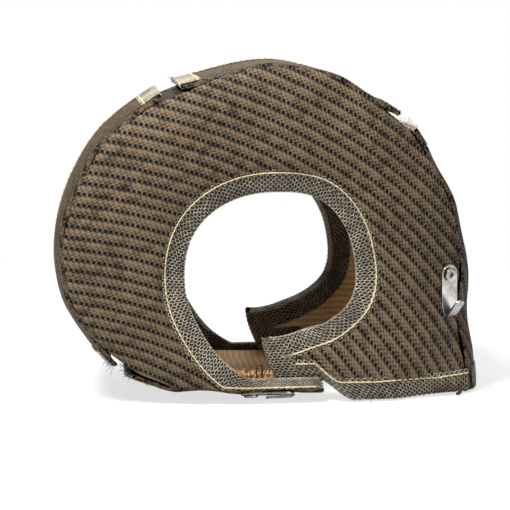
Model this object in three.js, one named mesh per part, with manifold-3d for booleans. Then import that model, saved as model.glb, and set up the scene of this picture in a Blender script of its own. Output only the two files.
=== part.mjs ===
// Heat blanket for a turbocharger: a padded horseshoe channel of twill cloth that wraps round a
// turbine housing, with a round hole in each side panel and an open, laced seam underneath.
// Millimetres. +X right, +Y away from the front panel, +Z up, the bench at Z = 0.
//
// The blanket is described by a sweep angle round the hole's centre line, in degrees, seen from
// the front and anticlockwise from +X. It starts at the left leg's end, under the hole, goes
// round the left, the top and the right side, and ends at the right leg's tip, which is tucked
// into the left leg's channel.

import * as THREE from "three";
import Module from "manifold-3d";
import { mergeVertices } from "three/addons/utils/BufferGeometryUtils.js";

const wasm = await Module();
wasm.setup();

// Overall form
const HOLE_CENTRE_HEIGHT = 59.5;
const LEFT_LEG_END_X = 28.5;
const NEST_RUN = 10;
const NARROWING_TURN = 24;
const RIGHT_CORNER_X = 102;
const TIP_ANGLE = -99;
const TIP_SLANT = 13;

// Radius of the finished hole edge at some sweep angles, as a share of the hole centre's height
const HOLE_RADII = [
  [300, 0.958], [250, 0.8151], [214, 0.7311], [180, 0.7563], [140, 0.8235], [90, 0.7983], [60, 0.8235],
  [20, 0.7227], [-10, 0.6723], [-35, 0.5546], [-60, 0.4622], [-100, 0.4538],
];
// Radius of the seam between a side panel and the rim, down to the right-hand corner, as such a share
const SEAM_RADII = [
  [300, 1.1765], [262, 1.0084], [240, 1.0588], [225, 1.2269], [208, 1.4286], [190, 1.6471], [172, 1.7815],
  [150, 1.8319], [137, 1.8487], [112, 1.7815], [84, 1.8319], [55, 1.7479], [22, 1.6807], [-5, 1.6471],
  [-16, 1.7143],
];
// How far the rim swells out past the seam, above the left leg's floor, as such a share
const RIM_SWELLS = [
  [235, 0.0672], [180, 0.0672], [112, 0.0168], [84, 0.0101], [55, 0.0168], [22, 0.0588], [-5, 0.1429],
];
// Half depth of the blanket at the hole edge, at the hem, and at the seam as a share of the hem's
const HOLE_HALF_DEPTH = 44;
const HEM_HALF_DEPTH = 45;
const CORNER_HALF_DEPTH = 34;
const SEAM_HALF_DEPTHS = [
  [300, 1], [250, 1], [208, 0.8444], [84, 0.8444], [55, 0.8222], [22, 0.7333], [-5, 0.6889],
];
const CORNER_ROUND = 15;
const PANEL_PUFF = 4;
const PANEL_WIDTH = 55;

// Left leg, where it runs under the right leg's tip
const FLOOR_SEAM_HEIGHT = 7;
const FLOOR_START = 225;
const FLOOR_FULL = 262;
const LIP_HEIGHT = 12;
const LIP_BLEND = 238;
const LIP_START = 247;

// Layers
const COVER = 1;
const INSULATION = 3;
const LINING = 0.8;
const TAPE = 0.7;
const GAP = 0.3;
const HOLE_TAPE_WIDTH = 11;
const HEM_TAPE_WIDTH = 12.5;
const FLAP_TAPE_WIDTH = 10;
const NEST_CLEARANCE = 0.8;
const HEM_SET_BACK = 1;
const CORNER_ROOM = 1.6;

// Ends of the four rim flaps
const BOTTOM_FLAP_START = 213;
const LEFT_FLAP_END = 206.5;
const LEFT_FLAP_START = 120.5;
const TOP_FLAP_END = 114.5;
const TOP_FLAP_START = 53;
const RIGHT_FLAP_END = 46.5;
const REAR_EDGE = 0.93;
const FRONT_EDGE = -0.95;
const FLAP_END_LIFT = 2.5;
const FLAP_LIFT_RUN = 18;

// Lacing hooks
const HOOK_LENGTH = 27;
const HOOK_WIDTH = 10;
const HOOK_SHEET = 1;
const HOOK_TONGUE_LENGTH = 13;
const HOOK_TONGUE_WIDTH = 6;
const RIVET_RADIUS = 2.2;
const RIVET_BORE_RADIUS = 1.3;
const RIVET_HEAD_RADIUS = 3.6;
const RIVET_HEAD_HEIGHT = 0.8;
const WASHER_RADIUS = 4.2;
const WASHER_HEIGHT = 0.8;
const SIDE_HOOK_ANGLE = 2;
const SIDE_HOOK_INSET = 8;
const SIDE_HOOK_RISE = 3.4;
const HOOK_STAND = 0.9;
const FLOOR_HOOK_X = -13;
const FLOOR_HOOK_INSET = 6.3;
const FLOOR_HOOK_RISE = 1.4;
const FLOOR_HOOK_SEAT = 0.5;
const TONGUE_FOOT = 0.1;
const BORING_MARGIN = 3;
const FIXING_WIRE = 0.9;
const FIXING_WIRE_HEIGHT = 8;
const FIXING_WIRE_SPAN = 2.6;
const FIXING_WIRE_X = -7;
const FIXING_WIRE_V = -0.68;

// Fineness of the faces
const STATION_PITCH = 14;
const PANEL_ROWS = 4;
const FITTING_PASSES = 3;
const ROUND_SEGMENTS = 12;

const SIDES = [["front", -1], ["rear", 1]];
const RAD = Math.PI / 180;
const HOLD = GAP + TAPE;
const TAPE_LEGS = [1, 0.5, 0, 0, 0.5, 1];
const TIP_LEGS = [1, 0, 0, 1];
const INNER_GAP = 2 * GAP;
const INNER_HOLD = INNER_GAP + TAPE;
const WALL = COVER + GAP + INSULATION + GAP + LINING;
const FLAP_ROOM = GAP + TAPE + GAP;
const RIM_WALL = COVER + FLAP_ROOM + INSULATION + GAP + LINING;

// A smooth curve through [angle, value] pairs, listed from the largest angle down
function through(pairs) {
  const points = [...pairs].sort((p, q) => p[0] - q[0]);
  const slope = (i) => {
    const before = points[Math.max(i - 1, 0)];
    const after = points[Math.min(i + 1, points.length - 1)];
    return (after[1] - before[1]) / (after[0] - before[0]);
  };
  return (angle) => {
    let i = 0;
    while (i < points.length - 2 && angle > points[i + 1][0]) i += 1;
    const [x0, y0] = points[i];
    const [x1, y1] = points[i + 1];
    const s = THREE.MathUtils.clamp((angle - x0) / (x1 - x0), 0, 1);
    const h = x1 - x0;
    const a = 2 * s ** 3 - 3 * s ** 2 + 1;
    const b = s ** 3 - 2 * s ** 2 + s;
    const c = s ** 3 - s ** 2;
    return y0 * a + slope(i) * h * b + y1 * (1 - a) + slope(i + 1) * h * c;
  };
}

const lerp = THREE.MathUtils.lerp;
const ramp = THREE.MathUtils.smoothstep;

// Sweep angles that the dimensions above give
const levelAngle = (x, height) => -Math.atan2(HOLE_CENTRE_HEIGHT - height, x) / RAD;
const CORNER_ANGLE = levelAngle(RIGHT_CORNER_X, HOLD);
const HEM_TOP_ANGLE = levelAngle(RIGHT_CORNER_X, HEM_TAPE_WIDTH);
const HEM_TURN_ANGLE = levelAngle(RIGHT_CORNER_X - RIM_WALL - 2 * HOLD - 1, HOLD);
const LEFT_LEG_END = 360 + levelAngle(LEFT_LEG_END_X, 0);
const NEST_START = levelAngle(LEFT_LEG_END_X + 2, 0);
const NEST_END = levelAngle(LEFT_LEG_END_X + 2 + NEST_RUN, 0);

// The lining of the left leg's floor stands this high, and the tip's hem clears it
const FLOOR_ROWS_SHARE = 0.72;
const FLOOR_SWELL = FLOOR_SEAM_HEIGHT - HOLD;
const floorTop = HOLD + FLOOR_SWELL * FLOOR_ROWS_SHARE ** 4 + RIM_WALL;
const HEM_LIFT = floorTop + GAP;
const TIP_HALF_DEPTH = HEM_HALF_DEPTH - (COVER + INNER_HOLD) - NEST_CLEARANCE - HOLD;

const scaled = (pairs, unit) => pairs.map(([angle, share]) => [angle, share * unit]);
const holeTable = through(scaled(HOLE_RADII, HOLE_CENTRE_HEIGHT));
const cornerRadius = Math.hypot(HOLE_CENTRE_HEIGHT - HOLD, RIGHT_CORNER_X);
const seamTable = through([...scaled(SEAM_RADII, HOLE_CENTRE_HEIGHT), [CORNER_ANGLE, cornerRadius]]);
const rimSwells = scaled(RIM_SWELLS, HOLE_CENTRE_HEIGHT);
const swellTable = through([[300, FLOOR_SWELL], [FLOOR_FULL, FLOOR_SWELL], ...rimSwells]);
const swell = (t) => (t > FLOOR_START ? Math.min(swellTable(t), FLOOR_SWELL) : swellTable(t));
const seamHalfDepths = scaled(SEAM_HALF_DEPTHS, HEM_HALF_DEPTH);
const seamHalfDepth = through([...seamHalfDepths, [CORNER_ANGLE, CORNER_HALF_DEPTH]]);

// Radius at which a ray meets a level this high over the bench, below the hole
const levelRadius = (t, height) => (HOLE_CENTRE_HEIGHT - height) / Math.max(-Math.sin(t * RAD), 0.05);

const nest = (t) => 1 - ramp(t, NEST_START, NEST_END);
const hemHeight = (t) => HOLD + HEM_LIFT * nest(t);

function holeRadius(t) {
  const round = holeTable(t);
  return t > FLOOR_START ? Math.min(round, levelRadius(t, LIP_HEIGHT)) : round;
}

function outerRadius(t) {
  if (t < CORNER_ANGLE) return levelRadius(t, hemHeight(t));
  return t > FLOOR_START ? Math.min(seamTable(t), levelRadius(t, FLOOR_SEAM_HEIGHT)) : seamTable(t);
}

function outerHalfDepth(t) {
  if (t >= CORNER_ANGLE) return seamHalfDepth(t);
  const full = lerp(HEM_HALF_DEPTH, CORNER_HALF_DEPTH, ramp(t, CORNER_ANGLE - CORNER_ROUND, CORNER_ANGLE));
  return lerp(full, TIP_HALF_DEPTH, nest(t));
}

function holeHalfDepth(t) {
  if (t > FLOOR_START) return lerp(HOLE_HALF_DEPTH, HEM_HALF_DEPTH, ramp(t, FLOOR_START, LIP_START));
  return lerp(TIP_HALF_DEPTH, HOLE_HALF_DEPTH, ramp(t, NEST_START, NEST_START + NARROWING_TURN));
}

// The wall is thick where it is padded and thin on the left leg's low lip
const wall = (t) => lerp(WALL, COVER, ramp(t, LIP_BLEND, LIP_START));

// A point on the outer face of a side panel. side is -1 in front and 1 behind.
function facePoint(t, radius, side) {
  const inner = holeRadius(t);
  const outer = outerRadius(t);
  const w = (radius - inner) / (outer - inner);
  const fullness = Math.min((outer - inner) / PANEL_WIDTH, 1.3) * (1 - ramp(t, FLOOR_START, LIP_START));
  const puff = PANEL_PUFF * fullness * Math.sin(Math.PI * THREE.MathUtils.clamp(w, 0, 1));
  const depth = lerp(holeHalfDepth(t), outerHalfDepth(t), Math.max(w, 0) ** 1.5) + puff;
  return new THREE.Vector3(
    radius * Math.cos(t * RAD),
    side * depth,
    HOLE_CENTRE_HEIGHT + radius * Math.sin(t * RAD),
  );
}

// Unit vector out of a side panel
function faceNormal(t, radius, side) {
  const step = 0.5;
  const inner = holeRadius(t) + step;
  const r = THREE.MathUtils.clamp(radius, inner, Math.max(outerRadius(t) - step, inner));
  const along = facePoint(t - step, r, side).sub(facePoint(t + step, r, side));
  const across = facePoint(t, r + step, side).sub(facePoint(t, r - step, side));
  const normal = along.cross(across);
  if (t < HEM_TOP_ANGLE) normal.z *= ramp(levelRadius(t, 0) - radius, 0, 2 * HEM_TAPE_WIDTH);
  normal.normalize();
  return normal.y * side < 0 ? normal.negate() : normal;
}

const faceAt = (t, radius, side, depth) =>
  facePoint(t, radius, side).addScaledVector(faceNormal(t, radius, side), -depth);

// Past the nest's start the stations close up towards the tip's slanted edge, and stop this far
// short of it, measured along the sweep
function towardsTip(t, radius, short) {
  if (t >= NEST_START) return t;
  const top = holeRadius(TIP_ANGLE);
  const slant = TIP_SLANT * (radius - top) / (outerRadius(TIP_ANGLE) - top);
  const end = TIP_ANGLE + slant + short / (radius * RAD);
  return lerp(NEST_START, end, (NEST_START - t) / (NEST_START - TIP_ANGLE));
}

// A point of a side panel's layer. radiusAt gives the radius at a sweep angle.
function panelAt(t, radiusAt, side, depth, short) {
  let angle = t;
  for (let pass = 0; pass < FITTING_PASSES; pass += 1) angle = towardsTip(t, radiusAt(angle), short);
  return faceAt(angle, radiusAt(angle), side, depth);
}

// Direction in which the rim swells: straight down under the left leg, straight out on the right
function rimDirection(t) {
  const turned = lerp(t, 270, ramp(t, FLOOR_START, FLOOR_FULL));
  const angle = t > FLOOR_START ? turned : t * ramp(t, -4, 14);
  return new THREE.Vector3(Math.cos(angle * RAD), 0, Math.sin(angle * RAD));
}

// A point on the rim's outer face, or under it. v runs from -1 at the front seam to 1 behind.
function rimAt(t, v, depth) {
  const centre = new THREE.Vector3(Math.cos(t * RAD), 0, Math.sin(t * RAD)).multiplyScalar(outerRadius(t));
  centre.z += HOLE_CENTRE_HEIGHT;
  centre.y = v * outerHalfDepth(t);
  return centre.addScaledVector(rimDirection(t), swell(t) * (1 - v ** 4) - depth);
}

// Sweep stations that every layer shares, so that their faces run parallel
const BREAKS = [
  LEFT_LEG_END, LIP_START, LIP_BLEND, BOTTOM_FLAP_START, LEFT_FLAP_END, LEFT_FLAP_START,
  TOP_FLAP_END, TOP_FLAP_START, RIGHT_FLAP_END, HEM_TOP_ANGLE, CORNER_ANGLE, HEM_TURN_ANGLE,
  ...[0, 0.2, 0.4, 0.6, 0.8, 1].map((share) => lerp(NEST_END, NEST_START, share)),
];

function stations(from, to) {
  const marks = BREAKS.filter((angle) => angle < from - 0.01 && angle > to + 0.01);
  const stops = [from, ...marks, to];
  const all = [from];
  for (let i = 1; i < stops.length; i += 1) {
    const run = rimAt(stops[i - 1], 0, 0).distanceTo(rimAt(stops[i], 0, 0));
    const steps = Math.max(1, Math.round(run / STATION_PITCH));
    for (let k = 1; k <= steps; k += 1) all.push(lerp(stops[i - 1], stops[i], k / steps));
  }
  return all;
}

const spread = (from, to, count) => Array.from({ length: count + 1 }, (_, i) => lerp(from, to, i / count));

// A closed sheet between an outer and an inner surface, each a function of u and v
function slab(us, vs, outerAt, innerAt) {
  const positions = [];
  const index = [];
  for (const surface of [outerAt, innerAt]) {
    for (const u of us) for (const v of vs) positions.push(...surface(u, v).toArray());
  }
  const cols = vs.length;
  const half = us.length * cols;
  const at = (layer, i, j) => layer * half + i * cols + j;
  const quad = (a, b, c, d) => index.push(a, b, c, a, c, d);
  const lastU = us.length - 1;
  const lastV = cols - 1;
  for (let i = 0; i < lastU; i += 1) {
    for (let j = 0; j < lastV; j += 1) {
      quad(at(0, i, j), at(0, i + 1, j), at(0, i + 1, j + 1), at(0, i, j + 1));
      quad(at(1, i, j), at(1, i, j + 1), at(1, i + 1, j + 1), at(1, i + 1, j));
    }
    quad(at(0, i, 0), at(1, i, 0), at(1, i + 1, 0), at(0, i + 1, 0));
    quad(at(0, i, lastV), at(0, i + 1, lastV), at(1, i + 1, lastV), at(1, i, lastV));
  }
  for (let j = 0; j < lastV; j += 1) {
    quad(at(0, 0, j), at(0, 0, j + 1), at(1, 0, j + 1), at(1, 0, j));
    quad(at(0, lastU, j), at(1, lastU, j), at(1, lastU, j + 1), at(0, lastU, j + 1));
  }
  return outward(positions, index);
}

function outward(positions, index) {
  const geometry = new THREE.BufferGeometry();
  geometry.setAttribute("position", new THREE.Float32BufferAttribute(positions, 3));
  const corner = (k) => new THREE.Vector3().fromArray(positions, 3 * index[k]);
  let volume = 0;
  for (let k = 0; k < index.length; k += 3) volume += corner(k).dot(corner(k + 1).cross(corner(k + 2)));
  if (volume < 0) index.reverse();
  geometry.setIndex(index);
  return geometry;
}

function toSolid(geometry) {
  const plain = geometry.clone();
  plain.deleteAttribute("normal");
  plain.deleteAttribute("uv");
  const merged = mergeVertices(plain, 1e-4);
  return new wasm.Manifold(new wasm.Mesh({
    numProp: 3,
    vertProperties: new Float32Array(merged.attributes.position.array),
    triVerts: new Uint32Array(merged.index.array),
  }));
}

function toGeometry(solid) {
  const mesh = solid.getMesh();
  const geometry = new THREE.BufferGeometry();
  geometry.setAttribute("position", new THREE.BufferAttribute(new Float32Array(mesh.vertProperties), 3));
  geometry.setIndex(new THREE.BufferAttribute(new Uint32Array(mesh.triVerts), 1));
  return geometry;
}

const cutAll = (geometry, cutters) =>
  toGeometry(cutters.reduce((solid, cutter) => solid.subtract(toSolid(cutter)), toSolid(geometry)));

// Finishes
const finish = (color, roughness, metalness) =>
  new THREE.MeshStandardMaterial({ color, roughness, metalness });
const TWILL = finish(0x7d6a53, 0.55, 0);
const FLAP_TWILL = finish(0x6a5843, 0.6, 0);
const BLANKET = finish(0xd8cfb8, 0.95, 0);
const SILICA = finish(0xb58e5f, 0.8, 0);
const MESH_TAPE = finish(0x8f8471, 0.5, 0.4);
const STEEL = finish(0xb9b8b4, 0.3, 1);
const DARK_WIRE = finish(0x2a2622, 0.6, 0.5);

const blanket = new THREE.Group();

function add(name, geometry, material) {
  const mesh = new THREE.Mesh(geometry, material);
  mesh.name = name;
  blanket.add(mesh);
  return mesh;
}

// Where a hook's rivet passes through the cloth, with the outward normal and the plate's direction
function sideHookPlace(side) {
  const radius = outerRadius(SIDE_HOOK_ANGLE) - SIDE_HOOK_INSET;
  const above = facePoint(SIDE_HOOK_ANGLE + 2, radius, side);
  return {
    point: facePoint(SIDE_HOOK_ANGLE, radius, side),
    normal: faceNormal(SIDE_HOOK_ANGLE, radius, side),
    along: facePoint(SIDE_HOOK_ANGLE - 2, radius, side).sub(above),
    standOff: HOOK_STAND,
    through: WALL,
    rise: SIDE_HOOK_RISE,
  };
}

function floorHookPlace(side) {
  const t = 270 + Math.atan2(FLOOR_HOOK_X, HOLE_CENTRE_HEIGHT) / RAD;
  const v = side * (1 - FLOOR_HOOK_INSET / outerHalfDepth(t));
  const along = new THREE.Vector3(1, 0, 0);
  const across = rimAt(t, v + 0.02, 0).sub(rimAt(t, v - 0.02, 0));
  return {
    point: rimAt(t, v, 0),
    normal: across.cross(along).normalize(),
    along,
    standOff: GAP,
    through: COVER + FLOOR_HOOK_SEAT,
    rise: FLOOR_HOOK_RISE,
  };
}

// The frame at a hook: y along the plate towards the tongue, z out of the cloth
function hookFrame(place) {
  const z = place.normal.clone();
  const y = place.along.clone().addScaledVector(z, -place.along.dot(z)).normalize();
  return new THREE.Matrix4().makeBasis(y.clone().cross(z), y, z).setPosition(place.point);
}

const hooks = [
  { name: "right", ...sideHookPlace(-1) },
  { name: "bottom", ...floorHookPlace(-1) },
].map((hook) => ({ ...hook, frame: hookFrame(hook) }));

const drill = (list, radius) => list.map((hook) => {
  const length = 2 * (hook.through + BORING_MARGIN);
  const cylinder = new THREE.CylinderGeometry(radius, radius, length, ROUND_SEGMENTS);
  return cylinder.rotateX(Math.PI / 2).applyMatrix4(hook.frame);
});

// A disc or tube on the z axis, from its underside up
function ring(radius, bore, low, high) {
  const corners = [[bore, low], [radius, low], [radius, high], [bore, high], [bore, low]];
  const profile = corners.map(([x, y]) => new THREE.Vector2(x, y));
  return new THREE.LatheGeometry(profile, ROUND_SEGMENTS).rotateX(Math.PI / 2);
}

// Pressed plate with round ends and, at its far end, a tongue that bends out and back over it
function hookPlate(rise) {
  const end = HOOK_WIDTH / 2;
  const reach = HOOK_LENGTH - 2 * end;
  const outline = new THREE.Shape();
  outline.absarc(0, 0, end, Math.PI, 2 * Math.PI, false);
  outline.absarc(0, reach, end, 0, Math.PI, false);
  const bore = new THREE.Path();
  bore.absarc(0, 0, RIVET_RADIUS + GAP / 2, 0, 2 * Math.PI, true);
  outline.holes.push(bore);
  const plain = { bevelEnabled: false, curveSegments: ROUND_SEGMENTS / 2 };
  const plate = new THREE.ExtrudeGeometry(outline, { depth: HOOK_SHEET, ...plain });
  const bend = rise / 2;
  const foot = reach + end - 1;
  const inner = bend - HOOK_SHEET / 2;
  const outer = bend + HOOK_SHEET / 2;
  const profile = new THREE.Shape();
  const middle = outer + TONGUE_FOOT;
  const tip = foot - HOOK_TONGUE_LENGTH;
  profile.moveTo(foot - end, TONGUE_FOOT);
  profile.lineTo(foot, TONGUE_FOOT);
  profile.absarc(foot, middle, outer, -Math.PI / 2, Math.PI / 2, false);
  profile.lineTo(tip, middle + outer + rise / 4);
  profile.lineTo(tip, middle + inner + rise / 4);
  profile.lineTo(foot, middle + inner);
  profile.absarc(foot, middle, inner, Math.PI / 2, -Math.PI / 2, true);
  profile.lineTo(foot - end, HOOK_SHEET + TONGUE_FOOT);
  profile.closePath();
  const tongue = new THREE.ExtrudeGeometry(profile, { depth: HOOK_TONGUE_WIDTH, ...plain });
  tongue.translate(0, 0, -HOOK_TONGUE_WIDTH / 2);
  tongue.applyMatrix4(new THREE.Matrix4().makeBasis(
    new THREE.Vector3(0, 1, 0),
    new THREE.Vector3(0, 0, 1),
    new THREE.Vector3(1, 0, 0),
  ));
  return toGeometry(toSolid(plate).add(toSolid(tongue)));
}

function placeOn(hook, geometry, lift) {
  return geometry.translate(0, 0, lift).applyMatrix4(hook.frame);
}

for (const hook of hooks) {
  const { name, standOff, through: thickness, rise } = hook;
  add(`${name}_hook`, placeOn(hook, hookPlate(rise), standOff), STEEL);
  const headFoot = standOff + HOOK_SHEET + GAP;
  const washerTop = -thickness - GAP;
  const washerFoot = washerTop - WASHER_HEIGHT;
  const rivetFoot = washerFoot - GAP;
  const half = RIVET_HEAD_HEIGHT / 2;
  const head = ring(RIVET_HEAD_RADIUS, RIVET_BORE_RADIUS, headFoot, headFoot + RIVET_HEAD_HEIGHT);
  const shank = ring(RIVET_RADIUS - GAP / 2, RIVET_BORE_RADIUS, rivetFoot - half, headFoot + half);
  const foot = ring(RIVET_HEAD_RADIUS, RIVET_BORE_RADIUS, rivetFoot - RIVET_HEAD_HEIGHT, rivetFoot);
  const rivet = toGeometry(toSolid(head).add(toSolid(shank)).add(toSolid(foot)));
  add(`${name}_rivet`, placeOn(hook, rivet, 0), STEEL);
  const washer = ring(WASHER_RADIUS, RIVET_RADIUS + GAP / 2, washerFoot, washerTop);
  add(`${name}_washer`, placeOn(hook, washer, 0), STEEL);
}

const borings = (name) => drill(hooks.filter((hook) => hook.name === name), RIVET_RADIUS + GAP);

// Side panels: cover, padding and lining, each a sheet from the hole's edge to the rim or hem.
// The cover has one row more than the padding, out to the seam or the hem.
const SEAM_SET_BACK = RIM_WALL + CORNER_ROOM;
function paddingEdge(t) {
  const hemSetBack = lerp(HEM_SET_BACK, SEAM_SET_BACK, ramp(t, HEM_TURN_ANGLE - 1, CORNER_ANGLE));
  const setBack = t >= CORNER_ANGLE ? SEAM_SET_BACK : hemSetBack;
  const outer = outerRadius(t);
  return Math.max(outer - setBack, lerp(holeRadius(t) + HOLD, outer, 0.7));
}

function panelSheet(side, from, top, bottom, rows) {
  const padded = (angle, share) => lerp(holeRadius(angle) + HOLD, paddingEdge(angle), share);
  const at = (depth) => (t, k) => {
    const radiusAt = (angle) => (k > PANEL_ROWS ? outerRadius(angle) : padded(angle, k / PANEL_ROWS));
    return panelAt(t, radiusAt, side, depth, HOLD);
  };
  return slab(stations(from, TIP_ANGLE), spread(0, rows, rows), at(top), at(bottom));
}

for (const [word, side] of SIDES) {
  const holes = side < 0 ? borings("right") : [];
  const padTop = COVER + GAP;
  add(`${word}_cover`, cutAll(panelSheet(side, LEFT_LEG_END - 1, 0, COVER, PANEL_ROWS + 1), holes), TWILL);
  const padding = panelSheet(side, LIP_BLEND, padTop, padTop + INSULATION, PANEL_ROWS);
  add(`${word}_insulation`, cutAll(padding, holes), BLANKET);
  const lining = panelSheet(side, LIP_BLEND, WALL - LINING, WALL, PANEL_ROWS);
  add(`${word}_lining`, cutAll(lining, holes), SILICA);
}

// Rim padding and lining, kept clear of the seams
const RIM_SHARES = [-FLOOR_ROWS_SHARE, -0.45, 0, 0.4, FLOOR_ROWS_SHARE];
function rimSheet(top, bottom) {
  const at = (depth) => (t, v) => rimAt(t, v, depth);
  return slab(stations(LEFT_LEG_END, CORNER_ANGLE), RIM_SHARES, at(top), at(bottom));
}
const RIM_PAD_TOP = COVER + FLAP_ROOM;
add("rim_insulation", rimSheet(RIM_PAD_TOP, RIM_PAD_TOP + INSULATION), BLANKET);
add("rim_lining", rimSheet(RIM_WALL - LINING, RIM_WALL), SILICA);

// Rim flaps. Each is a twill strip whose loose ends and rear edge are bound with tape.
const FLAPS = [
  { name: "bottom", from: LEFT_LEG_END, to: BOTTOM_FLAP_START, looseTo: "left" },
  { name: "left", from: LEFT_FLAP_END, to: LEFT_FLAP_START, looseFrom: "lower", looseTo: "upper" },
  { name: "top", from: TOP_FLAP_END, to: TOP_FLAP_START, looseFrom: "left", looseTo: "right" },
  { name: "right", from: RIGHT_FLAP_END, to: CORNER_ANGLE, looseFrom: "upper" },
];
const turn = (length, t) => length / (outerRadius(t) * RAD);

function flapLift(flap, t) {
  const fromEnd = flap.looseFrom ? flap.from - t : FLAP_LIFT_RUN;
  const toEnd = flap.looseTo ? t - flap.to : FLAP_LIFT_RUN;
  return FLAP_END_LIFT * Math.max(0, 1 - Math.min(fromEnd, toEnd) / FLAP_LIFT_RUN) ** 2;
}

// Rows across a flap, so that the cloth and its tapes run parallel
function flapRow(t, k) {
  const depth = outerHalfDepth(t);
  const tapeLine = REAR_EDGE - FLAP_TAPE_WIDTH / depth;
  const rear = REAR_EDGE - HOLD / depth;
  return [FRONT_EDGE, -0.72, -0.45, 0, 0.4, tapeLine, (tapeLine + rear) / 2, rear][k];
}

// Stations along a flap, with extra ones under its end tapes
function flapStations(flap, from, to) {
  const marks = stations(flap.from, flap.to);
  const extra = (end, sign) => [0, 0.5, 1].map((share) => end + sign * share * turn(FLAP_TAPE_WIDTH, end));
  if (flap.looseFrom) marks.push(...extra(flap.from, -1));
  if (flap.looseTo) marks.push(...extra(flap.to, 1));
  const inside = [...new Set(marks.filter((t) => t < from - 0.5 && t > to + 0.5))].sort((a, b) => b - a);
  const apart = inside.filter((t, i) => i === 0 || inside[i - 1] - t > 0.3);
  return [from, ...apart, to];
}

for (const flap of FLAPS) {
  const at = (t, v, depth) => rimAt(t, v, depth - flapLift(flap, t));
  const from = flap.looseFrom ? flap.from - turn(HOLD, flap.from) : flap.from;
  const to = flap.looseTo ? flap.to + turn(HOLD, flap.to) : flap.to;
  const holes = flap.name === "bottom" ? borings("bottom") : [];
  const cloth = (depth) => (t, k) => at(t, flapRow(t, k), depth);
  const sheet = slab(flapStations(flap, from, to), [0, 1, 2, 3, 4, 5, 6, 7], cloth(0), cloth(COVER));
  add(`${flap.name}_flap`, cutAll(sheet, holes), FLAP_TWILL);

  const tapeV = (t, k, edge) => {
    if (k === 2 || k === 3) return REAR_EDGE - edge / outerHalfDepth(t);
    return flapRow(t, k % 5 ? 6 : 5);
  };
  const tapeOuter = (t, k) => at(t, tapeV(t, k, 0), k < 3 ? -HOLD : COVER + HOLD);
  const tapeInner = (t, k) => at(t, tapeV(t, k, TAPE), k < 3 ? -GAP : COVER + GAP);
  const tapeStop = flap.looseTo ? flap.to : Math.max(flap.to, HEM_TOP_ANGLE + turn(GAP, flap.to));
  const tapeStart = flap.looseFrom ? flap.from : flap.from - turn(FLAP_TAPE_WIDTH + GAP, flap.from);
  const tapeStations = flapStations(flap, tapeStart, tapeStop);
  const tapeFold = slab(tapeStations, [0, 1, 2, 3, 4, 5], tapeOuter, tapeInner);
  add(`${flap.name}_flap_edge_binding`, tapeFold, MESH_TAPE);

  const ends = [];
  if (flap.looseFrom) ends.push([flap.looseFrom, flap.from, -1]);
  if (flap.looseTo) ends.push([flap.looseTo, flap.to, 1]);
  for (const [word, end, sign] of ends) {
    const place = (k, share, least, depth) => {
      const reach = Math.max(turn(FLAP_TAPE_WIDTH, end) * share, least);
      const t = end + sign * reach;
      const v = k === 5 ? flapRow(t, 5) - GAP / outerHalfDepth(t) : flapRow(t, k);
      return at(t, v, depth);
    };
    const outer = (k, leg) => place(k, TAPE_LEGS[leg], 0, leg < 3 ? -HOLD : COVER + HOLD);
    const inner = (k, leg) => place(k, TAPE_LEGS[leg], turn(TAPE, end), leg < 3 ? -GAP : COVER + GAP);
    const fold = slab([0, 1, 2, 3, 4, 5], [0, 1, 2, 3, 4, 5], outer, inner);
    add(`${flap.name}_flap_${word}_end_binding`, fold, MESH_TAPE);
  }
}

for (const [word, side] of SIDES) {
  // Tape folded over the hole's edge, down to the tape that binds the tip
  const short = HOLE_TAPE_WIDTH + GAP;
  const lipRoom = (t) => outerRadius(t) - holeRadius(t) - 2 * GAP;
  const width = (t) => (t > FLOOR_START ? Math.min(HOLE_TAPE_WIDTH, lipRoom(t)) : HOLE_TAPE_WIDTH);
  const holeTape = (least, outside, inside) => (t, leg) => {
    const radiusAt = (angle) => holeRadius(angle) + Math.max(width(angle) * TAPE_LEGS[leg], least);
    return panelAt(t, radiusAt, side, leg < 3 ? -outside : wall(t) + inside, short);
  };
  const holeStations = stations(LEFT_LEG_END, TIP_ANGLE);
  const legs = [0, 1, 2, 3, 4, 5];
  const holeFold = slab(holeStations, legs, holeTape(0, HOLD, INNER_HOLD), holeTape(TAPE, GAP, INNER_GAP));
  add(`${word}_hole_binding`, holeFold, MESH_TAPE);

  // Tape folded over the tip's edge, from the hole down to the hem
  const finished = (w) => (angle) =>
    lerp(holeRadius(angle), levelRadius(angle, hemHeight(angle) - HOLD), w);
  const tipTape = (least, outside, inside) => (w, leg) => {
    const reach = Math.max(HOLE_TAPE_WIDTH * TIP_LEGS[leg], least);
    return panelAt(TIP_ANGLE, finished(w), side, leg < 2 ? -outside : WALL + inside, reach);
  };
  const tipRows = spread(0, 1, 4);
  const tipFold = slab(tipRows, [0, 1, 2, 3], tipTape(0, HOLD, INNER_HOLD), tipTape(TAPE, GAP, INNER_GAP));
  add(`${word}_tip_binding`, tipFold, MESH_TAPE);

  // Tape folded over the hem of the right leg's panel
  const hemTape = (down, outside, inside) => (t, leg) => {
    const share = TAPE_LEGS[leg];
    const topEdge = (angle) => levelRadius(angle, hemHeight(angle) - HOLD + HEM_TAPE_WIDTH);
    const radiusAt = (angle) => lerp(outerRadius(angle), topEdge(angle), share);
    const point = panelAt(t, radiusAt, side, leg < 3 ? -outside : WALL + inside, short + INNER_GAP);
    if (share === 0) point.z -= down;
    return point;
  };
  const hemStations = stations(HEM_TURN_ANGLE, TIP_ANGLE);
  const hemFold = slab(hemStations, legs, hemTape(HOLD, HOLD, INNER_HOLD), hemTape(GAP, GAP, INNER_GAP));
  add(`${word}_hem_binding`, hemFold, MESH_TAPE);
}

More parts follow.
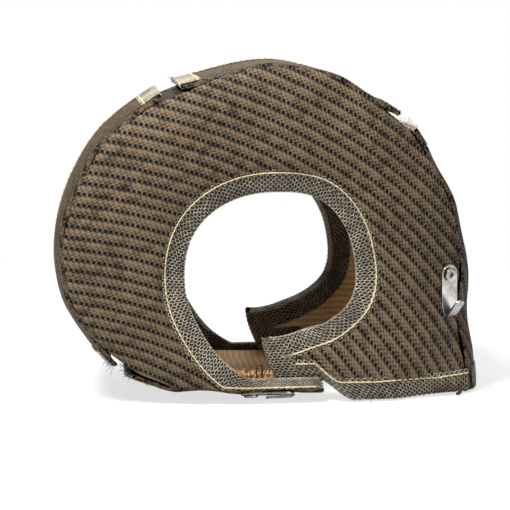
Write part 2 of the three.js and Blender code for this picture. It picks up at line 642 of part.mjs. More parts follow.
// Tape folded over the rim's hem, at the foot of the right side
const sideHem = (down, outside, inside) => (k, leg) => {
  const share = TIP_LEGS[leg];
  const t = lerp(CORNER_ANGLE, HEM_TOP_ANGLE, share);
  const v = THREE.MathUtils.clamp(flapRow(t, k), -0.9, 0.9);
  const point = rimAt(t, v, leg < 2 ? -outside : RIM_WALL + inside);
  if (share === 0) point.z -= down;
  return point;
};
const sideHemRows = [0, 1, 2, 3, 4, 5, 6, 7];
const sideHemOuter = sideHem(HOLD, HOLD, INNER_HOLD);
const sideHemInner = sideHem(GAP, GAP, INNER_GAP);
add("side_hem_binding", slab(sideHemRows, [0, 1, 2, 3], sideHemOuter, sideHemInner), MESH_TAPE);

// Tape folded over the end of the left leg's floor
const floorEndTape = (least, outside, inside) => (v, leg) => {
  const reach = Math.max(turn(FLAP_TAPE_WIDTH, LEFT_LEG_END) * TIP_LEGS[leg], least);
  return rimAt(LEFT_LEG_END + turn(HOLD, LEFT_LEG_END) - reach, v, leg < 2 ? -outside : RIM_WALL + inside);
};
add("left_leg_end_binding", slab(
  RIM_SHARES,
  [0, 1, 2, 3],
  floorEndTape(0, HOLD, INNER_HOLD),
  floorEndTape(turn(TAPE, LEFT_LEG_END), GAP, INNER_GAP),
), MESH_TAPE);

// Small wire loop that stands up through the floor's lining, over the bottom hook
const wireFoot = rimAt(270 + Math.atan2(FIXING_WIRE_X, HOLE_CENTRE_HEIGHT) / RAD, FIXING_WIRE_V, RIM_WALL);
const wireHalf = FIXING_WIRE_SPAN / 2;
const wirePath = new THREE.CatmullRomCurve3([
  new THREE.Vector3(-wireHalf, 0, GAP),
  new THREE.Vector3(-wireHalf, 0, FIXING_WIRE_HEIGHT - wireHalf),
  new THREE.Vector3(0, 0, FIXING_WIRE_HEIGHT),
  new THREE.Vector3(wireHalf, 0, FIXING_WIRE_HEIGHT - wireHalf),
  new THREE.Vector3(wireHalf, 0, GAP),
]);
const wireSection = new THREE.Shape().absarc(0, 0, FIXING_WIRE / 2, 0, 2 * Math.PI, false);
const wire = new THREE.ExtrudeGeometry(wireSection, { steps: 14, curveSegments: 3, extrudePath: wirePath });
add("hook_fixing_wire", wire.translate(wireFoot.x, wireFoot.y, wireFoot.z), DARK_WIRE);

// The origin stands under the middle of the whole blanket
const middle = new THREE.Box3().setFromObject(blanket).getCenter(new THREE.Vector3());
for (const mesh of blanket.children) mesh.geometry.translate(-middle.x, -middle.y, 0);

export default blanket;
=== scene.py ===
# %% [markdown]
# # A heat blanket for a turbocharger
# The blanket is a horseshoe channel of twill cloth, padded inside, that wraps round a turbine
# housing. This lesson dresses its CAD solids as cloth, knitted wire tape, thread and steel.
# First the CAD model is loaded as a fixed frame.

# %% Load the frame
import math
from functools import partialmethod

import bmesh
import bpy
import numpy as np
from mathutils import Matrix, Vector


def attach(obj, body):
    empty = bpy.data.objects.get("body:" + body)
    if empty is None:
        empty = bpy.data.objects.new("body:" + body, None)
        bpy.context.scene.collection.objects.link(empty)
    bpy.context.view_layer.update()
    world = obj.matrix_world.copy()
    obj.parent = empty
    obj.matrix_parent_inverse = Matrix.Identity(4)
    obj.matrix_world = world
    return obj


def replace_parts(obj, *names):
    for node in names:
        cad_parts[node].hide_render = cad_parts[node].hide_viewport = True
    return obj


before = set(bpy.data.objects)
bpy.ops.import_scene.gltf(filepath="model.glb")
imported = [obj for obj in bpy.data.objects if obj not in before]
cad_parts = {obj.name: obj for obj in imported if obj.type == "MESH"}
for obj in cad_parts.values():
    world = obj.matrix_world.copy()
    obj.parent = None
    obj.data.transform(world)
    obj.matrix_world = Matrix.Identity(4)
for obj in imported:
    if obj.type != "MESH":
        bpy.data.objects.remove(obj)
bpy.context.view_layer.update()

# %% [markdown]
# ## The camera and the light
# The photograph looks at the front panel from a little to the left and a little above, through a
# long lens. The lens is shifted rather than turned, because the object stands off the middle of
# the picture. A pale floor and large soft lamps show the weave without hard shadows.

# %% Camera
IMAGE_SIZE = 510
CAMERA_AZIMUTH = math.radians(-7)
CAMERA_ELEVATION = math.radians(10)
CAMERA_DISTANCE = 0.8
LOOK_AT = Vector((-0.00126, 0, 0.051))
LOOK_AT_RIGHT, LOOK_AT_DOWN = 9, 33
SENSOR_WIDTH, FOCAL_LENGTH = 36, 107.3

back = Vector((
    math.sin(CAMERA_AZIMUTH) * math.cos(CAMERA_ELEVATION),
    -math.cos(CAMERA_AZIMUTH) * math.cos(CAMERA_ELEVATION),
    math.sin(CAMERA_ELEVATION),
))
lens = bpy.data.cameras.new("camera")
camera = bpy.data.objects.new("camera", lens)
bpy.context.collection.objects.link(camera)
bpy.context.scene.camera = camera
camera.location = LOOK_AT + back * CAMERA_DISTANCE
camera.rotation_mode = "QUATERNION"
camera.rotation_quaternion = (-back).to_track_quat("-Z", "Y")
lens.sensor_width, lens.lens = SENSOR_WIDTH, FOCAL_LENGTH
lens.shift_x = -LOOK_AT_RIGHT / IMAGE_SIZE
lens.shift_y = LOOK_AT_DOWN / IMAGE_SIZE
lens.clip_start, lens.clip_end = 0.02, 20
bpy.context.scene.view_settings.view_transform = "Standard"
print("camera at", [round(x, 3) for x in camera.location])


# %% [markdown]
# The lamps are squares larger than the object, like a photographer's soft boxes. The strongest
# hangs high at the front left, so that it grazes the cloth and each tow throws a small shadow.


# %% Lamps
def soft_lamp(name, place, aim, size, power):
    light = bpy.data.lights.new(name, "AREA")
    light.size = size
    light.energy = power
    lamp = bpy.data.objects.new(name, light)
    bpy.context.collection.objects.link(lamp)
    lamp.location = place
    lamp.rotation_mode = "QUATERNION"
    lamp.rotation_quaternion = (Vector(aim) - Vector(place)).to_track_quat("-Z", "Y")


MIDDLE = (0, 0, 0.08)
soft_lamp("key_lamp", (-0.42, -0.34, 1.05), MIDDLE, 0.25, 24)
soft_lamp("top_lamp", (0.05, 0.15, 1.1), MIDDLE, 0.7, 5)
soft_lamp("fill_lamp", (0.9, -0.8, 0.35), MIDDLE, 0.6, 1.6)
soft_lamp("back_lamp", (0.2, 1.0, 0.5), MIDDLE, 0.8, 4)

# %% [markdown]
# ## Shader maths
# Weaves are drawn by arithmetic on a piece's own UV map, in millimetres. A node for every sum would
# be long to write, so a small class wraps a socket, and a table turns Python's operators into Math
# nodes. All other nodes come from one method, which takes a type, its settings and its sockets.


# %% Socket wrapper
class Value:
    def __init__(self, finish, socket):
        self.finish = finish
        self.socket = socket

    def maths(self, operation, *values):
        sockets = dict(enumerate([self, *values]))
        return self.finish.node("Math", {"operation": operation}, sockets)

    def __rsub__(self, other):
        return self * -1 + other

    def between(self, low, high):
        sockets = {"Value": self, "From Min": low, "From Max": high}
        return self.finish.node("MapRange", {"interpolation_type": "SMOOTHSTEP"}, sockets)


METHODS = {
    "__add__": "ADD", "__radd__": "ADD", "__sub__": "SUBTRACT", "__mul__": "MULTIPLY",
    "__rmul__": "MULTIPLY", "__truediv__": "DIVIDE", "floor": "FLOOR", "fraction": "FRACT",
    "sine": "SINE", "cosine": "COSINE", "power": "POWER", "larger": "MAXIMUM", "smaller": "MINIMUM",
}
for method, operation in METHODS.items():
    setattr(Value, method, partialmethod(Value.maths, operation))


class Finish:
    def __init__(self, name, family=bpy.data.materials):
        self.owner = family.new(name)
        self.owner.use_nodes = True
        self.tree = self.owner.node_tree
        self.tree.nodes.clear()

    def node(self, kind, settings=None, sockets=None, output=0):
        node = self.tree.nodes.new("ShaderNode" + kind)
        for key, value in (settings or {}).items():
            setattr(node, key, value)
        for key, value in (sockets or {}).items():
            if isinstance(value, Value):
                self.tree.links.new(value.socket, node.inputs[key])
            else:
                node.inputs[key].default_value = value
        return Value(self, node.outputs[output])

    def weave_map(self):
        return self.first_two(self.node("UVMap", {"uv_map": "weave"}))

    def first_two(self, vector):
        return [self.node("SeparateXYZ", None, {"Vector": vector}, axis) for axis in (0, 1)]

    def place(self):
        return self.node("TexCoord", None, None, "Object")

    def noise(self, vector, scale, detail=2, roughness=0.5):
        sockets = {"Vector": vector, "Scale": scale, "Detail": detail, "Roughness": roughness}
        return self.node("TexNoise", None, sockets)

    def point(self, x, y):
        return self.node("CombineXYZ", None, {0: x, 1: y})

    def mix(self, first, second, share):
        sockets = {0: share, 6: first, 7: second}
        return self.node("Mix", {"data_type": "RGBA"}, sockets, 2)

    def shade(self, **sockets):
        named = {key.replace("_", " "): value for key, value in sockets.items()}
        return self.show(self.node("BsdfPrincipled", None, named), "Material")

    def show(self, surface, kind):
        output = self.tree.nodes.new("ShaderNodeOutput" + kind)
        self.tree.links.new(surface.socket, output.inputs[0])
        return self.owner

    def bump(self, height, distance, strength=1.0):
        return self.node("Bump", None, {"Height": height, "Distance": distance, "Strength": strength})


def linear(level):
    """A level of a screen, from 0 to 255, as the light it gives, from 0 to 1."""
    share = level / 255
    return share / 12.92 if share <= 0.04045 else ((share + 0.055) / 1.055) ** 2.4


def paint(red, green, blue):
    return (linear(red), linear(green), linear(blue), 1.0)


# %% [markdown]
# ## Twill
# The cloth is a coarse 2/2 twill of flat tows: each tow passes over two others and then under two,
# and the next one starts a step later, so that the floats climb in diagonal rows with a row of
# dark holes between them. The same pattern is used twice: as numbers that move the cloth's
# points, and as shader maths for what is finer than the mesh. In the colour, the holes, the low
# parts of the floats and the rows' valleys are painted dark as shade.

# %% Twill pattern
TOW_ALONG, TOW_ACROSS = 1.75, 1.9
ALONG, ACROSS = math.sqrt(0.5) / TOW_ALONG, math.sqrt(0.5) / TOW_ACROSS
HOLE_LENGTH, HOLE_WIDTH, HOLE_SLANT = 0.36, 0.2, 0.9
FLATNESS = 1.6
REPEAT, CROSSING_STEP = 4, 3
FLOAT_SHARE, TOW_SHARE = 0.6, 0.4
TURN_PER_TOW = 2 * math.pi / REPEAT


def float_profile(step):
    """Height along a tow, which dips below the others once in a repeat and is flat on its float."""
    return FLOAT_SHARE * np.minimum(FLATNESS * np.cos(step * TURN_PER_TOW), 1)


def tow_profile(share):
    return TOW_SHARE * np.sin(share * math.pi)


def twill_height(u, v):
    """Height of the twill, below 0 in a hole and up to 1 on a float. u runs along its rows, in mm."""
    a = u * ALONG + v * ACROSS
    b = u * ALONG - v * ACROSS
    i = np.floor(a)
    j = np.floor(b)
    over = float_profile(b - i) + tow_profile(a - i)
    under = float_profile(a - j - CROSSING_STEP) + tow_profile(b - j)
    along = ((a + b) / 2 + 0.5) % 1 - 0.5
    across = ((a - b) / REPEAT) % 1 - 0.5
    slanted = along + HOLE_SLANT * across
    hole = np.clip(1.25 - np.hypot(slanted / HOLE_LENGTH, across / HOLE_WIDTH), 0, 1)
    return np.maximum(over, under) * (1 - 0.5 * hole) - 0.6 * hole


FILAMENT_FINE, FILAMENT_LONG = 7, 0.6
PATCHES_PER_METRE = 28
TWILL_BUMP = 0.00045


# light is the floats' own colour; dark is painted shade for the low parts of the floats and the rows'
# valleys, and the hole colour is painted shade inside the holes.
def twill_finish(name, light, dark, hole_shade):
    finish = Finish(name)
    u, v = finish.weave_map()
    a = u * ALONG + v * ACROSS
    b = u * ALONG - v * ACROSS
    i = a.floor()
    j = b.floor()
    over = (((b - i) * TURN_PER_TOW).cosine() * FLATNESS).smaller(1) * FLOAT_SHARE
    over = over + ((a - i) * math.pi).sine() * TOW_SHARE
    under = (((a - j - CROSSING_STEP) * TURN_PER_TOW).cosine() * FLATNESS).smaller(1) * FLOAT_SHARE
    under = under + ((b - j) * math.pi).sine() * TOW_SHARE
    along = ((a + b) * 0.5 + 0.5).fraction() - 0.5
    across = ((a - b) * (1 / REPEAT)).fraction() - 0.5
    slanted = along + across * HOLE_SLANT
    reach = (slanted * slanted / HOLE_LENGTH ** 2 + across * across / HOLE_WIDTH ** 2).power(0.5)
    hole = 1 - reach.between(0.75, 1.15)
    # Painted shade: the line of each row, between its holes, is darkened as the shade in its valley.
    valley_shade = (across * (2 * math.pi)).cosine() * 0.5 + 0.5
    float_height = over.larger(under)
    first = finish.noise(finish.point(a * FILAMENT_FINE, b * FILAMENT_LONG), 1.0, 3)
    second = finish.noise(finish.point(a * FILAMENT_LONG, b * FILAMENT_FINE), 1.0, 3)
    is_over = (over - under).between(-0.05, 0.05)
    strand = first * is_over + second * (1 - is_over)
    # Painted highlight and sheen: a random tone for each tow stands in for its highlight, and soft
    # patches, partly random tone, stand in for the sheen of the cloth's waves. The filament streaks are
    # the tows' own grain.
    patches = finish.noise(finish.place(), PATCHES_PER_METRE, 3)
    tows = finish.noise(finish.point(i * 0.37 + 11, j * 0.41), 1.0, 0)
    grain_and_sheen = (strand - 0.5) * 0.9 + (patches - 0.5) * 0.6 + (tows - 0.5) * 0.9
    # Painted shade: the floats are darker where they dip below the others, as the shade there.
    share = float_height.between(-0.1, 0.95) * 0.85 + grain_and_sheen * 0.9 - valley_shade * 0.22
    colour = finish.mix(dark, light, share.between(0.1, 0.95))
    # Painted shade: the holes get a near-black colour, as the shade inside them.
    colour = finish.mix(colour, hole_shade, hole)
    height = float_height + strand * 0.22 - hole * 1.2
    normal = finish.bump(height, TWILL_BUMP, 0.8)
    gloss = 0.8 - strand * 0.25
    return finish.shade(
        Base_Color=colour, Roughness=gloss, Normal=normal, Specular_IOR_Level=0.18)


# In each twill the second colour is painted shade for the low parts and valleys, and the third is
# painted shade in the holes.
cover_twill = twill_finish("cover_twill", paint(106, 89, 68), paint(15, 10, 5), paint(4, 2, 1))
# Painted shade: the flaps are the panels' cloth, painted darker as the shade on the rim.
shaded_flap_twill = twill_finish("shaded_flap_twill", paint(84, 70, 53), paint(20, 13, 7), paint(7, 4, 2))
inner_twill = twill_finish("inner_twill", paint(48, 38, 26), paint(18, 13, 8), paint(7, 4, 2))
print("twill rows", round(REPEAT * TOW_ACROSS * math.sqrt(0.5), 2), "mm apart")

# %% [markdown]
# ## The blanket's own measures
# Every layer follows one set of curves: a sweep angle goes round the hole from the left leg's end
# to the right leg's tip, and at each angle the curves give the hole's radius, the seam's radius and
# the depth. They repeat the CAD model's values, in millimetres, so that cloth lies on its solids.

# %% Curves of the blanket
MM = 0.001
MIDDLE_X = 1.264
HOLE_CENTRE = 59.5
TIP_ANGLE = -99
LEFT_LEG_END_X = 28.5
RIGHT_CORNER_X = 102
FLOOR_START, FLOOR_FULL, LIP_BLEND, LIP_START = 225, 262, 238, 247
HOLE_DEPTH, HEM_DEPTH, CORNER_DEPTH = 44, 45, 34
HOLD, GAP, COVER, INNER_GAP = 1.0, 0.3, 1.0, 0.6
LIP_HEIGHT, FLOOR_SEAM_HEIGHT = 12, 7
PUFF, PUFF_WIDTH, TIP_SLANT = 4, 55, 13
WALL, RIM_WALL, RIM_PAD = 5.4, 6.4, 2.3
HEM_LIFT = 9.31
TIP_DEPTH = 40.9
FLOOR_SWELL = 6.0
HEM_TAPE, HOLE_TAPE, FLAP_TAPE = 12.5, 11, 10


def through(pairs):
    """A smooth curve through (angle, value) pairs."""
    knots = sorted(pairs)
    x = np.array([k[0] for k in knots], float)
    y = np.array([k[1] for k in knots], float)
    after = np.minimum(np.arange(len(x)) + 1, len(x) - 1)
    before = np.maximum(np.arange(len(x)) - 1, 0)
    slope = (y[after] - y[before]) / (x[after] - x[before])

    def curve(angle):
        angle = np.asarray(angle, float)
        i = np.searchsorted(x[1:-1], angle)
        h = x[i + 1] - x[i]
        s = np.clip((angle - x[i]) / h, 0, 1)
        a = 2 * s ** 3 - 3 * s ** 2 + 1
        b = s ** 3 - 2 * s ** 2 + s
        c = s ** 3 - s ** 2
        return y[i] * a + slope[i] * h * b + y[i + 1] * (1 - a) + slope[i + 1] * h * c

    return curve


def ramp(value, low, high):
    s = np.clip((value - low) / (high - low), 0, 1)
    return s * s * (3 - 2 * s)


def mixed(first, second, share):
    return first + (second - first) * share


def level_angle(x, height):
    return -math.degrees(math.atan2(HOLE_CENTRE - height, x))


CORNER = level_angle(RIGHT_CORNER_X, HOLD)
HEM_TOP = level_angle(RIGHT_CORNER_X, HEM_TAPE)
HEM_TURN = level_angle(RIGHT_CORNER_X - RIM_WALL - 2 * HOLD - 1, HOLD)
LEFT_LEG_END = 360 + level_angle(LEFT_LEG_END_X, 0)
NEST_START = level_angle(LEFT_LEG_END_X + 2, 0)
NEST_END = level_angle(LEFT_LEG_END_X + 12, 0)
NARROWING_TURN = 24

hole_table = through([
    (300, 57), (250, 48.5), (214, 43.5), (180, 45), (140, 49), (90, 47.5),
    (60, 49), (20, 43), (-10, 40), (-35, 33), (-60, 27.5), (-100, 27),
])
seam_table = through([
    (300, 70), (262, 60), (240, 63), (225, 73), (208, 85), (190, 98), (172, 106), (150, 109),
    (137, 110), (112, 106), (84, 109), (55, 104), (22, 100), (-5, 98), (-16, 102),
    (CORNER, math.hypot(HOLE_CENTRE - HOLD, RIGHT_CORNER_X)),
])
swell_table = through([
    (300, FLOOR_SWELL), (FLOOR_FULL, FLOOR_SWELL), (235, 4), (180, 4), (112, 1), (84, 0.6),
    (55, 1), (22, 3.5), (-5, 8.5),
])
seam_depth = through([
    (300, 45), (250, 45), (208, 38), (84, 38), (55, 37), (22, 33), (-5, 31), (CORNER, CORNER_DEPTH),
])


# %% [markdown]
# The next functions take a sweep angle t, in degrees, or an array of them. Near the floor the hole
# and the seam run level, and towards the tip the hem rises so that the right leg fits in the left.

# %% Radii and depths
radians = np.radians


def level_radius(t, height):
    return (HOLE_CENTRE - height) / np.maximum(-np.sin(radians(t)), 0.05)


def nest(t):
    return 1 - ramp(t, NEST_START, NEST_END)


def hem_height(t):
    return HOLD + HEM_LIFT * nest(t)


def above_hem(reach):
    """A function for the radius at which a ray is reach mm above the hem."""
    return lambda angle: level_radius(angle, hem_height(angle) + reach)


def hole_radius(t):
    round_hole = hole_table(t)
    return np.where(t > FLOOR_START, np.minimum(round_hole, level_radius(t, LIP_HEIGHT)), round_hole)


def outer_radius(t):
    seam = seam_table(t)
    seam = np.where(t > FLOOR_START, np.minimum(seam, level_radius(t, FLOOR_SEAM_HEIGHT)), seam)
    return np.where(t < CORNER, level_radius(t, hem_height(t)), seam)


def outer_depth(t):
    full = mixed(HEM_DEPTH, CORNER_DEPTH, ramp(t, CORNER - 15, CORNER))
    return np.where(t >= CORNER, seam_depth(t), mixed(full, TIP_DEPTH, nest(t)))


def hole_depth(t):
    floor_part = mixed(HOLE_DEPTH, HEM_DEPTH, ramp(t, FLOOR_START, LIP_START))
    rest = mixed(TIP_DEPTH, HOLE_DEPTH, ramp(t, NEST_START, NEST_START + NARROWING_TURN))
    return np.where(t > FLOOR_START, floor_part, rest)


def swell(t):
    return np.where(t > FLOOR_START, np.minimum(swell_table(t), FLOOR_SWELL), swell_table(t))


def wall(t):
    return mixed(WALL, COVER, ramp(t, LIP_BLEND, LIP_START))


def towards(x, y, z):
    return np.stack(np.broadcast_arrays(x, y, z), axis=-1)


def unit(vectors):
    return vectors / np.maximum(np.linalg.norm(vectors, axis=-1, keepdims=True), 1e-9)


# %% [markdown]
# A place on a side panel is a sweep angle and a radius, and a place on the rim is a sweep angle and
# a share v of the depth, from -1 at the front to 1 at the rear. Both can be sunk below the surface
# by a depth, and negative depths lift them off it.

# %% Points on the panels and the rim
def on_ray(t, radius, y):
    return towards(radius * np.cos(radians(t)), y, HOLE_CENTRE + radius * np.sin(radians(t)))


def face_point(t, radius, side):
    inner = hole_radius(t)
    outer = outer_radius(t)
    w = (radius - inner) / (outer - inner)
    fullness = np.minimum((outer - inner) / PUFF_WIDTH, 1.3) * (1 - ramp(t, FLOOR_START, LIP_START))
    puff = PUFF * fullness * np.sin(math.pi * np.clip(w, 0, 1))
    depth = mixed(hole_depth(t), outer_depth(t), np.maximum(w, 0) ** 1.5) + puff
    return on_ray(t, radius, side * depth)


def face_normal(t, radius, side):
    step = 0.5
    inner = hole_radius(t) + step
    r = np.clip(radius, inner, np.maximum(outer_radius(t) - step, inner))
    along = face_point(t - step, r, side) - face_point(t + step, r, side)
    across = face_point(t, r + step, side) - face_point(t, r - step, side)
    normal = np.cross(along, across)
    settled = np.where(t < HEM_TOP, ramp(level_radius(t, 0) - radius, 0, 2 * HEM_TAPE), 1)
    normal[..., 2] *= settled
    normal = unit(normal)
    return normal * np.where(normal[..., 1] * side < 0, -1, 1)[..., None]


def towards_tip(t, radius, short):
    """The angle with the right leg squeezed, so that it ends at its slanted tip, less short mm."""
    top = hole_radius(np.float64(TIP_ANGLE))
    slant = TIP_SLANT * (radius - top) / (outer_radius(np.float64(TIP_ANGLE)) - top)
    end = TIP_ANGLE + slant + np.degrees(short / radius)
    squeezed = mixed(NEST_START, end, (NEST_START - t) / (NEST_START - TIP_ANGLE))
    return np.where(t >= NEST_START, t, squeezed)


def panel_at(t, radius_at, side, depth, short=HOLD):
    """Angle and radius depend on each other near the tip, so they are fitted in a few rounds."""
    angle = np.asarray(t, float)
    for fitting in range(3):
        angle = towards_tip(t, radius_at(angle), short)
    radius = radius_at(angle)
    sunk = face_normal(angle, radius, side) * np.asarray(depth)[..., None]
    return face_point(angle, radius, side) - sunk


def rim_direction(t):
    turned = mixed(t, 270, ramp(t, FLOOR_START, FLOOR_FULL))
    angle = np.where(t > FLOOR_START, turned, t * ramp(t, -4, 14))
    return towards(np.cos(radians(angle)), 0, np.sin(radians(angle)))


def rim_at(t, v, depth):
    centre = on_ray(t, outer_radius(t), v * outer_depth(t))
    return centre + rim_direction(t) * (swell(t) * (1 - np.abs(v) ** 4) - depth)[..., None]


def evenly(start, end, place):
    """The sweep angle at a share of the way from start to end, and the way's length in mm."""
    t = np.linspace(start, end, 500)
    steps = np.linalg.norm(np.diff(place(t), axis=0), axis=1)
    length = np.concatenate([[0], np.cumsum(steps)])
    return (lambda share: np.interp(np.asarray(share) * length[-1], length, t)), length[-1]


print("hem corner at", round(CORNER, 2), "degrees, left leg's end at", round(LEFT_LEG_END, 2))

# %% [markdown]
# ## Cloth from a flat grid
# A piece of cloth starts as a flat grid, as the real one starts as a flat cut. Each point of the
# grid is then carried to its place on the blanket, which keeps the weave's map on it. The grid
# faces are turned outwards by comparing them with a copy that stands a little further out.

# %% Cloth helper
random_waves = np.random.default_rng(7)
FULL_TURN = 2 * math.pi
WAVES = [
    [random_waves.uniform(low, high) for low, high in ((0.1, 0.24), (0, FULL_TURN), (0, FULL_TURN))]
    for wave in range(9)
]


def ripple(x, z):
    """Soft waves of a hand-sewn cloth, from about -1 to 1."""
    total = 0
    for pitch, heading, phase in WAVES:
        total = total + np.sin(pitch * (x * math.cos(heading) + z * math.sin(heading)) + phase)
    return total / 4


def link(name, data, finish):
    piece = bpy.data.objects.new(name, data)
    bpy.context.collection.objects.link(piece)
    data.materials.append(finish)
    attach(piece, "root")
    return piece


def cloth(name, columns, rows, place, weave, finish, node):
    """place(x, y, lift) gives points in mm for shares of the grid, and weave(x, y, points) its map."""
    grid = bmesh.new()
    bmesh.ops.create_grid(grid, x_segments=columns, y_segments=rows, size=0.5)
    mesh = bpy.data.meshes.new(name)
    grid.to_mesh(mesh)
    grid.free()
    flat = np.empty(3 * len(mesh.vertices))
    mesh.vertices.foreach_get("co", flat)
    x, y = flat.reshape(-1, 3)[:, 0] + 0.5, flat.reshape(-1, 3)[:, 1] + 0.5
    points = place(x, y, np.zeros_like(x))
    outside = place(x, y, np.ones_like(x)) - points
    u, v = weave(x, y, points)
    points = points - (MIDDLE_X, 0, 0)
    mesh.vertices.foreach_set("co", (points * MM).ravel())
    corner = np.empty(len(mesh.loops), int)
    mesh.loops.foreach_get("vertex_index", corner)
    mesh.uv_layers.new(name="weave")
    mesh.uv_layers["weave"].data.foreach_set("uv", np.stack([u[corner], v[corner]], axis=1).ravel())
    mesh.polygons.foreach_set("use_smooth", np.ones(len(mesh.polygons), bool))
    mesh.update()
    normals = np.empty(3 * len(mesh.polygons))
    mesh.polygons.foreach_get("normal", normals)
    first = corner[[p.loop_start for p in mesh.polygons]]
    if (normals.reshape(-1, 3) * outside[first]).sum() < 0:
        mesh.flip_normals()
    piece = link(name, mesh, finish)
    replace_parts(piece, node)
    return piece


# %% [markdown]
# ## The two side panels
# Each panel is one cut of twill that goes all the way round the hole. It swells over its padding,
# dips at the seam to the rim and turns in there. Its rows run down to the right, and more steeply on
# the right, because the cloth was eased round the curve. Shallow waves keep it from looking stiff,
# and fade out beside the hook and under the tapes, so that the cloth pokes through nothing.

# %% Side panels
ROWS_CENTRE = (-112, -100)
ROWS_SLOPE = math.radians(30)
PANEL_CLOTH_WIDTH, SEAM_ALLOWANCE = 62.0, 3.0
COVER_STEP = 0.85
SIDES = {"front": -1, "rear": 1}
TWILL_RELIEF = 0.4
CLOTH_INSET, UNDER_TAPE_RELIEF = 0.6, 0.25
TAPE_FADE, HEM_FADE, SEAM_FADE, HOOK_FADE = (9, 14), (11, 16), (0, 20), (10, 28)
WAVE_LIFT, DEEPEST_WAVE = 0.6, 0.55
PUCKER_HEIGHT, PUCKER_PITCH, PUCKER_FADE = 0.35, 0.42, (3, 22)
PILLOW_WIDTH, PILLOW_DROP = 8, 2.0
RIGHT_HOOK = (89.94, -35.53, 62.64)


def panel_weave(x, y, points):
    px, pz = points[:, 0], points[:, 2]
    u = px * math.cos(ROWS_SLOPE) - pz * math.sin(ROWS_SLOPE)
    v = np.hypot(px - ROWS_CENTRE[0], pz - ROWS_CENTRE[1])
    return u, v


def side_sweep(start, side):
    def middle_line(t):
        return face_point(t, mixed(hole_radius(t), outer_radius(t), 0.6), side)

    return evenly(start, TIP_ANGLE, middle_line)


def side_panel(word, side):
    sweep, length = side_sweep(LEFT_LEG_END - 1, side)
    flat_share = PANEL_CLOTH_WIDTH / (PANEL_CLOTH_WIDTH + SEAM_ALLOWANCE)

    def place(x, y, lift):
        t = sweep(x)
        w = np.minimum(y / flat_share, 1)
        turned = np.maximum(y / flat_share - 1, 0) * PANEL_CLOTH_WIDTH

        def radius_at(angle):
            return mixed(hole_radius(angle) + CLOTH_INSET, outer_radius(angle), w)

        base = panel_at(t, radius_at, side, np.zeros_like(t))
        u, v = panel_weave(x, y, base)
        radius = radius_at(t)
        from_hole = radius - hole_radius(t)
        from_seam = outer_radius(t) - radius
        before_lip = 1 - ramp(t, LIP_BLEND, LIP_START)
        loose = ramp(from_hole, *TAPE_FADE) * np.where(t < CORNER, ramp(from_seam, *HEM_FADE), 1)
        loose = loose * before_lip
        relief = TWILL_RELIEF * twill_height(u, v) * mixed(UNDER_TAPE_RELIEF, 1, loose)
        from_hook = np.hypot(base[:, 0] - RIGHT_HOOK[0], base[:, 2] - RIGHT_HOOK[2])
        waves = (WAVE_LIFT + ripple(base[:, 0], base[:, 2])) * loose * ramp(from_seam, *SEAM_FADE)
        waves = waves * ramp(from_hook, *HOOK_FADE)
        puckers = PUCKER_HEIGHT * np.sin(t * PUCKER_PITCH) * (1 - ramp(from_seam, *PUCKER_FADE)) * loose
        edge = np.clip(1 - from_seam / PILLOW_WIDTH, 0, 1) * np.where(t < CORNER - 4, 0, 1)
        drop = PILLOW_DROP * (1 - np.sqrt(1 - 0.99 * edge ** 2)) * before_lip
        lifted = np.maximum(relief + waves + puckers, -DEEPEST_WAVE) - drop + lift
        points = panel_at(t, radius_at, side, -lifted)
        inward = -towards(np.cos(radians(t)), side, np.sin(radians(t)))
        return points + inward * (turned * np.where(t < CORNER, 0, 1))[:, None]

    columns = round(length / COVER_STEP)
    rows = round((PANEL_CLOTH_WIDTH + SEAM_ALLOWANCE) / COVER_STEP)
    piece = cloth(
        f"{word}_panel", columns, rows, place, panel_weave, cover_twill, f"{word}_cover")
    print(piece.name, columns, "x", rows, "faces,", round(length), "mm round")


for word, side in SIDES.items():
    side_panel(word, side)

# %% [markdown]
# ## Rim flaps
# Four strips of the same cloth cover the rim. Each is sewn to the front panel, where it turns into
# the seam. Its rear edge and its ends beside a notch are loose and bound with tape, and those ends
# lift a little. Under the strips lies the padding, which shows only in the notches between them.

# %% Rim flaps
FLAPS = {
    "bottom": (LEFT_LEG_END, 213, False, True),
    "left": (206.5, 120.5, True, True),
    "top": (114.5, 53, True, True),
    "right": (46.5, CORNER, True, False),
}
REAR_EDGE, FRONT_EDGE = 0.93, -0.95
FLAP_END_LIFT, FLAP_LIFT_RUN = 2.5, 18
FLAP_STEP, FLAP_WIDTH, FLAP_SLOPE = 0.9, 74, math.radians(24)
FLAP_HEM, TURNED_SHARE = 0.6, 0.05
FLAP_FADE, FAR_OFF = (8, 12), 99
FLAP_WAVE, FLAP_WAVE_PITCH, FLAP_WAVE_START, FLAP_WAVE_SHARE = 0.8, 0.16, 1.3, 0.3
SEAM_DIP, SEAM_REACH = 2.2, 1.6


def turn(length, t):
    return np.degrees(length / outer_radius(np.float64(t)))


def flap_lift(name, t):
    start, end, loose_start, loose_end = FLAPS[name]
    run = np.full_like(np.asarray(t, float), FLAP_LIFT_RUN)
    if loose_start:
        run = np.minimum(run, start - t)
    if loose_end:
        run = np.minimum(run, t - end)
    return FLAP_END_LIFT * np.maximum(0, 1 - run / FLAP_LIFT_RUN) ** 2


def rim_weave(length):
    def weave(x, y, points):
        along, across = x * length, points[:, 1]
        return (
            along * math.cos(FLAP_SLOPE) + across * math.sin(FLAP_SLOPE),
            across * math.cos(FLAP_SLOPE) - along * math.sin(FLAP_SLOPE),
        )

    return weave


def rim_middle(t):
    return rim_at(t, np.zeros_like(t), np.zeros_like(t))


